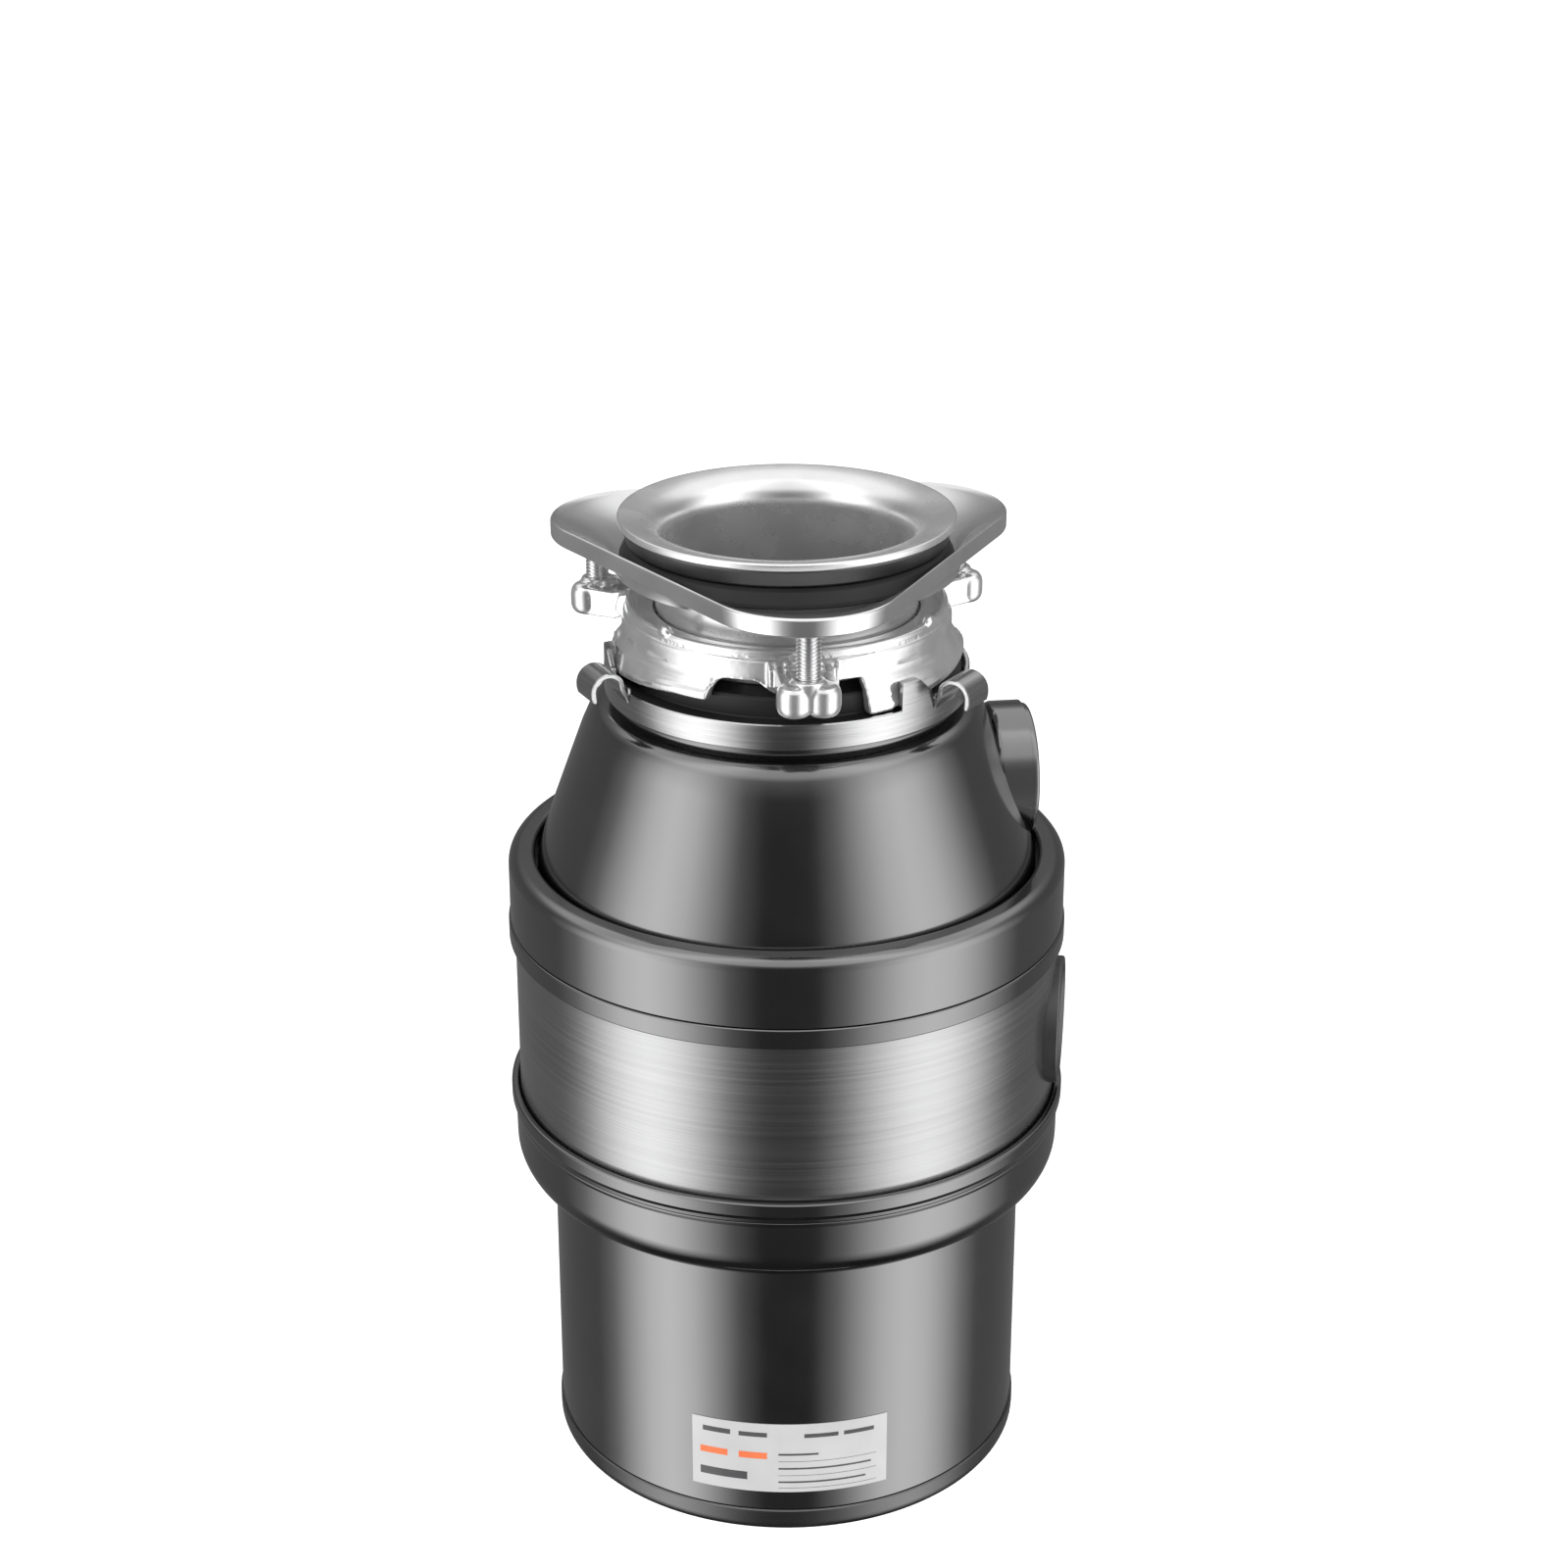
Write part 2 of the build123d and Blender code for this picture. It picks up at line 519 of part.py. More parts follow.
with BuildPart() as chamber_gasket:
    with BuildSketch(Plane.XY.offset(212.0)):
        Circle(93.0)
        Circle(83.0, mode=Mode.SUBTRACT)
        with PolarLocations(90.2, 6, start_angle=30):
            Circle(1.8, mode=Mode.SUBTRACT)
    extrude(amount=1.0)

with BuildPart() as chamber_screws:
    with BuildSketch(Plane.XY.offset(206.6)):
        with PolarLocations(90.2, 6, start_angle=30):
            Circle(3.0)
    extrude(amount=2.4)
    with BuildSketch(Plane.XY.offset(206.6)):
        with PolarLocations(90.2, 6, start_angle=30):
            Circle(1.5)
    extrude(amount=8.4)

with BuildPart() as grind_ring:
    with BuildSketch(Plane.XY.offset(188.0)):
        Circle(81.8)
        Circle(76.5, mode=Mode.SUBTRACT)
    extrude(amount=24.9)
    with BuildSketch(Plane.XY.offset(187.0)):
        with PolarLocations(76.8, 24):
            Rectangle(4.4, 5.0, mode=Mode.ADD)
    extrude(amount=17.0, mode=Mode.SUBTRACT)
    with BuildSketch(Plane.XY.offset(206.0)):
        with PolarLocations(76.6, 24, start_angle=7.5):
            Rectangle(3.2, 3.2)
    extrude(amount=8.0, mode=Mode.SUBTRACT)

with BuildPart() as discharge_port_rim:
    with BuildSketch(Plane.YZ.offset(88.0)):
        with Locations((0, OUT_Z)):
            Circle(OUT_RIM)
            Circle(OUT_TUBE + 0.05, mode=Mode.SUBTRACT)
    extrude(amount=8.1)
    with BuildSketch(Plane.YZ.offset(96.1)):
        with Locations((0, OUT_Z)):
            Circle(OUT_RIM)
            Circle(OUT_BORE + 0.4, mode=Mode.SUBTRACT)
    extrude(amount=2.1)
    chamfer(discharge_port_rim.edges().filter_by(GeomType.CIRCLE).group_by(Axis.X)[-1]
            .sort_by(SortBy.RADIUS)[0], length=1.2)

with BuildPart() as sound_foam:
    with BuildSketch(Plane.XY.offset(146.0)):
        Circle(93.0)
        Circle(87.4, mode=Mode.SUBTRACT)
    extrude(amount=56.0)
    with BuildSketch(Plane.YZ.offset(70)):
        with Locations((0, OUT_Z)):
            Circle(OUT_RIM + 0.3)
    extrude(amount=40, mode=Mode.SUBTRACT)

# ---------------------------------------------------------------- motor: frames and bearings
with BuildPart() as end_frame:
    with BuildSketch(Plane.XZ):
        with BuildLine():
            Polyline((20.0, 112.0), (26.0, 112.0), (26.0, 114.0), (89.0, 114.0), (89.0, 118.0),
                     (26.0, 118.0), (26.0, 124.0), (20.0, 124.0), close=True)
        make_face()
    revolve(axis=Axis.Z)
    with BuildSketch(Plane.XY.offset(112)):
        with PolarLocations(64.5, 4, start_angle=45):
            Circle(2.52)
    extrude(amount=5.4, mode=Mode.SUBTRACT)

with BuildPart() as upper_bearing_outer:
    with BuildSketch(Plane.XY.offset(112.0)):
        Circle(19.98)
        Circle(15.6, mode=Mode.SUBTRACT)
    extrude(amount=12.0)
    with Locations(*[polar(13.55, 40 * k, 118.0) for k in range(9)]):
        Sphere(1.95)

with BuildPart() as upper_bearing_inner:
    with BuildSketch(Plane.XY.offset(112.0)):
        Circle(11.5)
        Circle(SHAFT_R + 0.02, mode=Mode.SUBTRACT)
    extrude(amount=12.0)

with BuildPart() as lower_end_bell:
    with BuildSketch(Plane.XY.offset(16.0)):
        Circle(58.0)
        with PolarLocations(64.5, 4, start_angle=45):
            Circle(6.0)
        with PolarLocations(58.0, 4, start_angle=45):
            Rectangle(13, 12)
        Circle(16.0, mode=Mode.SUBTRACT)
    extrude(amount=4.0)
    with BuildSketch(Plane.XY.offset(12.0)):
        Circle(21.0)
        Circle(16.0, mode=Mode.SUBTRACT)
    extrude(amount=10.5)
    with BuildSketch(Plane.XY.offset(15)):
        with PolarLocations(64.5, 4, start_angle=45):
            Circle(2.6)
    extrude(amount=6, mode=Mode.SUBTRACT)
    with BuildSketch(Plane.XY.offset(15)):
        with PolarLocations(50, 4, start_angle=20):
            Circle(2.02)
    extrude(amount=6, mode=Mode.SUBTRACT)

with BuildPart() as lower_bearing_outer:
    with BuildSketch(Plane.XY.offset(12.5)):
        Circle(15.98)
        Circle(12.9, mode=Mode.SUBTRACT)
    extrude(amount=10.0)
    with Locations(*[polar(10.85, 45 * k, 17.5) for k in range(8)]):
        Sphere(1.95)

with BuildPart() as lower_bearing_inner:
    with BuildSketch(Plane.XY.offset(12.5)):
        Circle(8.8)
        Circle(SHAFT_LOW + 0.02, mode=Mode.SUBTRACT)
    extrude(amount=10.0)

with BuildPart() as shaft_seal:
    with BuildSketch(Plane.XZ):
        with BuildLine():
            Polyline((8.56, 132.0), (10.0, 130.0), (12.95, 130.0), (12.95, 140.0), (8.56, 140.0), close=True)
        make_face()
    revolve(axis=Axis.Z)

with BuildPart() as yoke:
    with BuildSketch(Plane.XY.offset(20.0)):
        Circle(58.0)
        Circle(52.0, mode=Mode.SUBTRACT)
    extrude(amount=94.0)

with BuildPart() as magnets:
    for start in (20, 200):
        with BuildSketch(radial_plane(start)):
            with Locations(((44.0 + 51.9) / 2, 75.0)):
                Rectangle(7.9, 54.0)
        revolve(axis=Axis.Z, revolution_arc=140)

with BuildPart() as through_bolts:
    with BuildSketch(Plane.XY.offset(12.6)):
        with PolarLocations(64.5, 4, start_angle=45):
            RegularPolygon(4.6, 6)
    extrude(amount=3.4)
    with BuildSketch(Plane.XY.offset(12.6)):
        with PolarLocations(64.5, 4, start_angle=45):
            Circle(2.5)
    extrude(amount=104.6)

with BuildPart() as cover_screws:
    with BuildSketch(Plane.XY.offset(3.4)):
        with PolarLocations(50, 4, start_angle=20):
            Circle(4.0)
            Rectangle(5.6, 1.0, mode=Mode.SUBTRACT)
    extrude(amount=2.6)
    with BuildSketch(Plane.XY.offset(4.4)):
        with PolarLocations(50, 4, start_angle=20):
            Circle(2.0)
    extrude(amount=15.0)

# ---------------------------------------------------------------- rotor
with BuildPart() as shaft:
    with BuildSketch(Plane.XZ):
        with BuildLine():
            Polyline((0, 8.0), (5.4, 8.0), (SHAFT_LOW, 8.6), (SHAFT_LOW, 24.0), (SHAFT_R, 24.0),
                     (SHAFT_R, 183.9), (SHAFT_TOP_R, 183.9), (SHAFT_TOP_R, PLATE_Z1), (6.0, PLATE_Z1),
                     (6.0, 204.2), (5.2, 205.0), (0, 205.0), close=True)
        make_face()
    revolve(axis=Axis.Z)

with BuildPart() as turntable:
    with BuildSketch(Plane.XZ):
        with BuildLine():
            Polyline((SHAFT_TOP_R + 0.02, 184.0), (16.0, 184.0), (17.5, PLATE_Z0), (PLATE_R, PLATE_Z0),
                     (PLATE_R, PLATE_Z1), (SHAFT_TOP_R + 0.02, PLATE_Z1), close=True)
        make_face()
    revolve(axis=Axis.Z)
    with BuildSketch(Plane.XY.offset(190)):
        with Locations((PIVOT_R, 0), (-PIVOT_R, 0)):
            Circle(PIN_R + 0.02)
        with PolarLocations(66, 12, start_angle=15):
            Circle(2.2)
    extrude(amount=8, mode=Mode.SUBTRACT)

with BuildPart() as turntable_nut:
    with BuildSketch(Plane.XY.offset(PLATE_Z1 + 0.02)):
        RegularPolygon(9.5, 6, major_radius=False)
        Circle(6.02, mode=Mode.SUBTRACT)
    extrude(amount=7.6)

with BuildPart() as impeller_rivets:
    with Locations((PIVOT_R, 0, 0), (-PIVOT_R, 0, 0)):
        with Locations((0, 0, 195.0)):
            Cylinder(PIN_R, 8.4)
        with Locations((0, 0, 190.7)):
            Cylinder(6.4, 2.4)
        with Locations((0, 0, 200.4)):
            Cylinder(6.4, 2.6)

impellers = {}
for name, s in (("a", 1), ("b", -1)):
    with BuildPart() as imp:
        with BuildSketch(Plane(origin=(s * PIVOT_R, 0, 195.4), x_dir=(s, 0, 0))):
            Circle(11.0)
            with Locations((9.0, 0)):
                Rectangle(26.0, 20.0)
            Circle(PIN_R + 0.05, mode=Mode.SUBTRACT)
        extrude(amount=3.2)
        with BuildSketch(Plane(origin=(s * PIVOT_R, 0, 195.4), x_dir=(s, 0, 0))):
            with Locations((20.4, 0)):
                Rectangle(5.2, 20.0)
        extrude(amount=17.0)
        with BuildSketch(Plane(origin=(s * PIVOT_R, 0, 190), x_dir=(s, 0, 0))):
            Circle(60.0)
            Circle(24.8, mode=Mode.SUBTRACT)
        extrude(amount=40, mode=Mode.SUBTRACT)
    impellers[name] = imp

with BuildPart() as armature_core:
    with BuildSketch(Plane.XY.offset(52.0)):
        Circle(42.4)
        Circle(SHAFT_R + 0.02, mode=Mode.SUBTRACT)
        with PolarLocations(31.5, 12):
            Rectangle(13.0, 6.0, mode=Mode.SUBTRACT)
        with PolarLocations(40.0, 12):
            Rectangle(8.0, 1.8, mode=Mode.SUBTRACT)
    extrude(amount=46.0)

with BuildPart() as armature_windings:
    with BuildSketch(Plane.XY.offset(44.0)):
        with PolarLocations(31.4, 12):
            Rectangle(12.4, 5.6)
    extrude(amount=62.0)
    with BuildSketch(Plane.XZ):
        with Locations((28.5, 47.9)):
            RectangleRounded(21.0, 7.8, 3.0)
        with Locations((28.5, 102.1)):
            RectangleRounded(21.0, 7.8, 3.0)
    revolve(axis=Axis.Z)

with BuildPart() as commutator:
    with BuildSketch(Plane.XY.offset(26.0)):
        Circle(15.0)
        Circle(SHAFT_R + 0.02, mode=Mode.SUBTRACT)
        with PolarLocations(14.9, 12):
            Rectangle(1.2, 0.6, mode=Mode.SUBTRACT)
    extrude(amount=15.0)

# ---------------------------------------------------------------- brush gear
brushes, holders, springs = {}, {}, {}
for name, s in (("a", 1), ("b", -1)):
    with BuildPart() as brush:
        with BuildSketch(Plane(origin=(s * 23.0, 0, 30.0))):
            Rectangle(17.6, 8.0)
        extrude(amount=8.0)
        with BuildSketch(Plane.XY.offset(28)):
            Circle(15.06)
        extrude(amount=12, mode=Mode.SUBTRACT)
    brushes[name] = brush
    with BuildPart() as holder:
        with BuildSketch(Plane(origin=(s * 32.5, 0, 28.0))):
            Rectangle(27.0, 12.0)
        extrude(amount=12.0)
        with BuildSketch(Plane(origin=(s * 31.5, 0, 29.7))):
            Rectangle(26.0, 8.6)
        extrude(amount=8.6, mode=Mode.SUBTRACT)
        with BuildSketch(Plane(origin=(s * 36.0, 0, 20.0))):
            Rectangle(14.0, 12.0)
        extrude(amount=8.2)
    holders[name] = holder
    with BuildPart() as spring:
        with BuildLine():
            coil = Helix(pitch=1.95, height=11.0, radius=2.9, center=(s * 32.3, 0, 34.0),
                         direction=(s, 0, 0))
        with BuildSketch(Plane(origin=coil @ 0, z_dir=coil % 0)):
            Circle(0.35)
        sweep(is_frenet=True)
    springs[name] = spring

# ---------------------------------------------------------------- electrics
with BuildPart() as control_board:
    with BuildSketch(Plane.XZ.offset(68.0)):
        with Locations((0, 58)):
            Rectangle(56, 60)
    extrude(amount=1.6)
    with BuildSketch(Plane.XZ.offset(69.6)):
        with Locations((-14, 70)):
            Rectangle(20, 20)
    extrude(amount=7.0)
    with BuildSketch(Plane.XZ.offset(69.6)):
        with Locations((14, 50)):
            Rectangle(12, 24)
    extrude(amount=8.0)

with BuildPart() as overload_protector:
    with BuildSketch(Plane.XY.offset(6.5)):
        with Locations((-69.2, 0)):
            Rectangle(15.0, 20.0)
    extrude(amount=20.0)
    with BuildSketch(Plane.XY.offset(6.0)):
        with Locations((-69, 0)):
            Circle(3.9)
    extrude(amount=11.5, mode=Mode.SUBTRACT)

with BuildPart() as reset_button:
    with BuildSketch(Plane.XY.offset(4.0)):
        with Locations((-69, 0)):
            Circle(3.5)
    extrude(amount=13.0)
    fillet(reset_button.edges().filter_by(GeomType.CIRCLE).sort_by(Axis.Z)[0], radius=0.8)

with BuildPart() as cable_gland:
    # threaded body through the can, hexagon and clamping dome outside, locknut inside
    with BuildSketch(Plane.XZ.offset(-78.0)):
        with Locations((0, 28)):
            Circle(6.1)
    extrude(amount=-15.0)
    with BuildSketch(Plane.XZ.offset(-84.4)):
        with Locations((0, 28)):
            RegularPolygon(9.5, 6, major_radius=False)
    extrude(amount=-5.0)
    with BuildSketch(Plane.XZ.offset(-89.4)):
        with Locations((0, 28)):
            Circle(8.4)
    extrude(amount=-6.0)
    with BuildSketch(Plane.XZ.offset(-78.4)):
        with Locations((0, 28)):
            RegularPolygon(8.5, 6, major_radius=False)
    extrude(amount=-3.0)
    with BuildSketch(Plane.XZ.offset(-70.0)):
        with Locations((0, 28)):
            Circle(3.9)
    extrude(amount=-40.0, mode=Mode.SUBTRACT)

# ---------------------------------------------------------------- write every piece
sink_flange.part.label = "sink_flange"
export_step(sink_flange.part, "parts/sink_flange.step")
sink_gasket.part.label = "sink_gasket"
export_step(sink_gasket.part, "parts/sink_gasket.step")
fibre_gasket.part.label = "fibre_gasket"
export_step(fibre_gasket.part, "parts/fibre_gasket.step")
backup_flange.part.label = "backup_flange"
export_step(backup_flange.part, "parts/backup_flange.step")
pieces = {
    "snap_ring": snap_ring, "mounting_ring": mounting_ring, "lock_ring": lock_ring,
    "mounting_gasket": mounting_gasket, "splash_guard": splash_guard, "hopper": hopper,
    "dishwasher_cap": dishwasher_cap, "upper_shell": upper_shell,
    "upper_trim_ring": upper_trim_ring, "steel_band": steel_band,
    "lower_trim_ring": lower_trim_ring, "lower_shell": lower_shell, "motor_can": motor_can,
    "bottom_cover": bottom_cover, "rating_label": rating_label,
    "discharge_chamber": discharge_chamber, "chamber_gasket": chamber_gasket,
    "chamber_screws": chamber_screws, "grind_ring": grind_ring,
    "discharge_port_rim": discharge_port_rim, "sound_foam": sound_foam, "end_frame": end_frame,
    "upper_bearing_outer": upper_bearing_outer, "upper_bearing_inner": upper_bearing_inner,
    "lower_end_bell": lower_end_bell, "lower_bearing_outer": lower_bearing_outer,
    "lower_bearing_inner": lower_bearing_inner, "shaft_seal": shaft_seal, "yoke": yoke,
    "magnets": magnets, "through_bolts": through_bolts, "cover_screws": cover_screws,
    "shaft": shaft, "turntable": turntable, "turntable_nut": turntable_nut,
    "impeller_rivets": impeller_rivets, "armature_core": armature_core,
    "armature_windings": armature_windings, "commutator": commutator,
    "control_board": control_board, "overload_protector": overload_protector,
    "reset_button": reset_button, "cable_gland": cable_gland,
}
for key in "abc":
    pieces["mounting_screw_" + key] = screws[key]
for key in "ab":
    pieces["impeller_" + key] = impellers[key]
    pieces["brush_" + key] = brushes[key]
    pieces["brush_holder_" + key] = holders[key]
    pieces["brush_spring_" + key] = springs[key]
for name, piece in pieces.items():
    piece.part.label = name
    export_step(piece.part, f"parts/{name}.step")
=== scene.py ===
import json
import math

import bmesh
import bpy
from mathutils import Matrix, Vector


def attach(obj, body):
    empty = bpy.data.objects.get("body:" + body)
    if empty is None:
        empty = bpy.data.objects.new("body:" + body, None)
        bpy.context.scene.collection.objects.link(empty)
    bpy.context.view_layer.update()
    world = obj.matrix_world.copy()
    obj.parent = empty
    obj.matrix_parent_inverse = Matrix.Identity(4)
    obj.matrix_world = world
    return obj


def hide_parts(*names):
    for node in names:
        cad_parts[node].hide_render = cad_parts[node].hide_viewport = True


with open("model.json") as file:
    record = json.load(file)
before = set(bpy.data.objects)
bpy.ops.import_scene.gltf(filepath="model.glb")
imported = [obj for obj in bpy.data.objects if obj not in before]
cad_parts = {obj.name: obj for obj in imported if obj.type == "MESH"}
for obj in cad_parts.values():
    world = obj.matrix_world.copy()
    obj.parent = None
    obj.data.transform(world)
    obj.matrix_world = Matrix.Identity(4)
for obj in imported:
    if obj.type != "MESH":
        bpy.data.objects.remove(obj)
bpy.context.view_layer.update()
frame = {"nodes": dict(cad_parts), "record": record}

MM = 0.001
BOSS = (-76.4, 43.6, 163.6)


def rad(a):
    return math.radians(a)


# ------------------------------------------------------------------ camera
# the camera stands 9 degrees round from -Y, 22.5 degrees above the horizon
TURN = 9.0
cam_data = bpy.data.cameras.new("camera")
cam_data.sensor_width = 36.0
cam_data.lens = 68.99
cam_data.clip_start = 0.05
cam_data.clip_end = 60.0
cam = bpy.data.objects.new("camera", cam_data)
bpy.context.scene.collection.objects.link(cam)
cx, cy = -0.014, -0.9643
t = rad(TURN)
cam.location = (cx * math.cos(t) - cy * math.sin(t), cx * math.sin(t) + cy * math.cos(t), 0.6498)
cam.rotation_euler = (rad(90 - 22.46), 0, t - rad(0.776))
bpy.context.scene.camera = cam


# ------------------------------------------------------------------ materials
def new_mat(name):
    m = bpy.data.materials.new(name)
    m.use_nodes = True
    nt = m.node_tree
    bsdf = next(n for n in nt.nodes if n.type == "BSDF_PRINCIPLED")
    return m, nt, bsdf


def coords(nt, scale):
    tc = nt.nodes.new("ShaderNodeTexCoord")
    mp = nt.nodes.new("ShaderNodeMapping")
    mp.inputs["Scale"].default_value = scale
    nt.links.new(tc.outputs["Object"], mp.inputs["Vector"])
    return mp.outputs["Vector"]


def noise(nt, vec, scale, detail=3.0, rough=0.5):
    n = nt.nodes.new("ShaderNodeTexNoise")
    n.inputs["Scale"].default_value = scale
    n.inputs["Detail"].default_value = detail
    n.inputs["Roughness"].default_value = rough
    nt.links.new(vec, n.inputs["Vector"])
    return n.outputs["Fac"]


def ramp(nt, fac, lo, hi, a, b):
    r = nt.nodes.new("ShaderNodeValToRGB")
    r.color_ramp.elements[0].position = lo
    r.color_ramp.elements[1].position = hi
    r.color_ramp.elements[0].color = (*a, 1)
    r.color_ramp.elements[1].color = (*b, 1)
    nt.links.new(fac, r.inputs["Fac"])
    return r.outputs["Color"]


def maprange(nt, fac, a, b, lo=0.3, hi=0.7):
    r = nt.nodes.new("ShaderNodeMapRange")
    r.inputs["From Min"].default_value = lo
    r.inputs["From Max"].default_value = hi
    r.inputs["To Min"].default_value = a
    r.inputs["To Max"].default_value = b
    nt.links.new(fac, r.inputs["Value"])
    return r.outputs["Result"]


def bump(nt, bsdf, height, strength, dist):
    b = nt.nodes.new("ShaderNodeBump")
    b.inputs["Strength"].default_value = strength
    b.inputs["Distance"].default_value = dist
    nt.links.new(height, b.inputs["Height"])
    nt.links.new(b.outputs["Normal"], bsdf.inputs["Normal"])


def plain(name, a, b, metal, r0, r1, scale=60.0, bump_s=0.08, bump_d=0.0002, ior=None, coat=0.0,
          coat_r=0.05, fine=1400.0, spec=None):
    """A moulded, cast or rubber surface: colour and roughness wander slowly, fine grain in the bump."""
    m, nt, s = new_mat(name)
    v = coords(nt, (1, 1, 1))
    big = noise(nt, v, scale, 4)
    small = noise(nt, v, fine, 2)
    nt.links.new(ramp(nt, big, 0.3, 0.7, a, b), s.inputs["Base Color"])
    nt.links.new(maprange(nt, big, r0, r1), s.inputs["Roughness"])
    s.inputs["Metallic"].default_value = metal
    if ior:
        s.inputs["IOR"].default_value = ior
    if spec is not None:
        s.inputs["Specular IOR Level"].default_value = spec
    s.inputs["Coat Weight"].default_value = coat
    s.inputs["Coat Roughness"].default_value = coat_r
    bump(nt, s, small, bump_s, bump_d)
    return m


def brushed(name, a, b, metal, r0, r1, axis_scale=(14, 14, 2600), bump_s=0.25, bump_d=0.00012, aniso=0.0):
    """Steel with a fine brushed grain running one way."""
    m, nt, s = new_mat(name)
    v = coords(nt, axis_scale)
    v2 = coords(nt, tuple(c * 0.31 for c in axis_scale))
    g = noise(nt, v, 1.0, 4, 0.65)
    g2 = noise(nt, v2, 1.0, 2, 0.5)
    mix = nt.nodes.new("ShaderNodeMath")
    mix.operation = "MULTIPLY_ADD"
    mix.inputs[1].default_value = 0.6
    nt.links.new(g, mix.inputs[0])
    sc = nt.nodes.new("ShaderNodeMath")
    sc.operation = "MULTIPLY"
    sc.inputs[1].default_value = 0.4
    nt.links.new(g2, sc.inputs[0])
    nt.links.new(sc.outputs[0], mix.inputs[2])
    nt.links.new(ramp(nt, mix.outputs[0], 0.32, 0.68, a, b), s.inputs["Base Color"])
    nt.links.new(maprange(nt, mix.outputs[0], r0, r1), s.inputs["Roughness"])
    s.inputs["Metallic"].default_value = metal
    s.inputs["Anisotropic"].default_value = aniso
    bump(nt, s, mix.outputs[0], bump_s, bump_d)
    return m


M = {}
M["gloss_black"] = plain("gloss_black_plastic", (0.0024, 0.0024, 0.0026), (0.0042, 0.0042, 0.0045), 0.0, 0.13, 0.165,
                         scale=35, bump_s=0.012, bump_d=0.0001, ior=2.5, coat=0.35, coat_r=0.10)
M["black_paint"] = plain("gloss_black_paint", (0.0026, 0.0026, 0.0028), (0.0046, 0.0046, 0.0048), 0.0, 0.13, 0.17,
                         scale=50, bump_s=0.015, bump_d=0.0001, ior=2.5, coat=0.35, coat_r=0.10, fine=900)
M["cover_black"] = plain("satin_black_cover", (0.005, 0.005, 0.0055), (0.009, 0.009, 0.0095), 0.0, 0.22, 0.3,
                         scale=60, bump_s=0.08, bump_d=0.00015, ior=2.0)
M["rubber"] = plain("black_rubber", (0.010, 0.010, 0.010), (0.018, 0.018, 0.018), 0.0, 0.38, 0.5,
                    scale=80, bump_s=0.12, bump_d=0.0002, ior=1.9)
M["rubber_dark"] = plain("matt_black_rubber", (0.006, 0.006, 0.006), (0.011, 0.011, 0.011), 0.0, 0.5, 0.62,
                         scale=80, bump_s=0.12, bump_d=0.0002)
M["satin_black"] = plain("moulded_black", (0.012, 0.012, 0.012), (0.02, 0.02, 0.02), 0.0, 0.4, 0.5, bump_s=0.15)
M["polished_steel"] = plain("polished_steel", (0.66, 0.66, 0.665), (0.76, 0.76, 0.76), 0.90, 0.12, 0.18,
                            scale=40, bump_s=0.03, bump_d=0.0001)
M["rim_steel"] = plain("satin_rim_steel", (0.70, 0.70, 0.70), (0.78, 0.78, 0.78), 0.82, 0.22, 0.30,
                       scale=60, bump_s=0.05, bump_d=0.0001)
M["cast_zinc"] = plain("polished_cast_zinc", (0.68, 0.68, 0.685), (0.80, 0.80, 0.80), 0.78, 0.11, 0.18,
                       scale=90, bump_s=0.10, bump_d=0.0004, fine=260)
M["brushed_band"] = brushed("brushed_band_steel", (0.32, 0.32, 0.325), (0.41, 0.41, 0.41), 1.0, 0.19, 0.27)
M["brushed_ring"] = brushed("brushed_ring_steel", (0.40, 0.40, 0.405), (0.52, 0.52, 0.52), 1.0, 0.16, 0.24,
                            axis_scale=(60, 60, 3000))
M["brushed_steel"] = M["brushed_ring"]
M["stainless"] = brushed("ground_stainless", (0.45, 0.45, 0.46), (0.58, 0.58, 0.58), 1.0, 0.28, 0.42,
                         axis_scale=(900, 120, 120))
M["steel"] = plain("machined_steel", (0.42, 0.42, 0.43), (0.56, 0.56, 0.57), 1.0, 0.25, 0.4, scale=120)
M["screw_steel"] = plain("bright_zinc_plate", (0.66, 0.66, 0.67), (0.80, 0.80, 0.80), 0.95, 0.18, 0.28, scale=200)
M["aluminium"] = plain("cast_aluminium", (0.55, 0.55, 0.56), (0.68, 0.68, 0.69), 0.9, 0.4, 0.55, bump_s=0.3)
M["copper"] = plain("enamelled_copper", (0.50, 0.20, 0.08), (0.68, 0.30, 0.13), 0.9, 0.3, 0.4, scale=200)
M["ferrite"] = plain("ferrite", (0.05, 0.05, 0.055), (0.09, 0.09, 0.09), 0.3, 0.5, 0.65)
M["graphite"] = plain("graphite", (0.03, 0.03, 0.03), (0.06, 0.06, 0.06), 0.4, 0.45, 0.6)
M["grey_plastic"] = plain("glass_filled_nylon", (0.10, 0.10, 0.105), (0.16, 0.16, 0.165), 0.0, 0.42, 0.55, bump_s=0.2)
M["red_plastic"] = plain("red_button", (0.50, 0.015, 0.01), (0.62, 0.02, 0.015), 0.0, 0.25, 0.35)
M["green_board"] = plain("green_board", (0.01, 0.12, 0.05), (0.02, 0.18, 0.07), 0.0, 0.35, 0.5)
M["foam"] = plain("grey_foam", (0.06, 0.06, 0.06), (0.13, 0.13, 0.13), 0.0, 0.85, 0.95, scale=700, bump_s=0.8, fine=900)
M["label"] = plain("white_film", (0.48, 0.48, 0.48), (0.54, 0.54, 0.54), 0.0, 0.34, 0.42, bump_s=0.02)
M["ink_grey"] = plain("grey_ink", (0.05, 0.05, 0.055), (0.09, 0.09, 0.09), 0.0, 0.45, 0.5, bump_s=0.02)
M["ink_orange"] = plain("orange_ink", (0.75, 0.14, 0.04), (0.82, 0.20, 0.07), 0.0, 0.45, 0.5, bump_s=0.02)

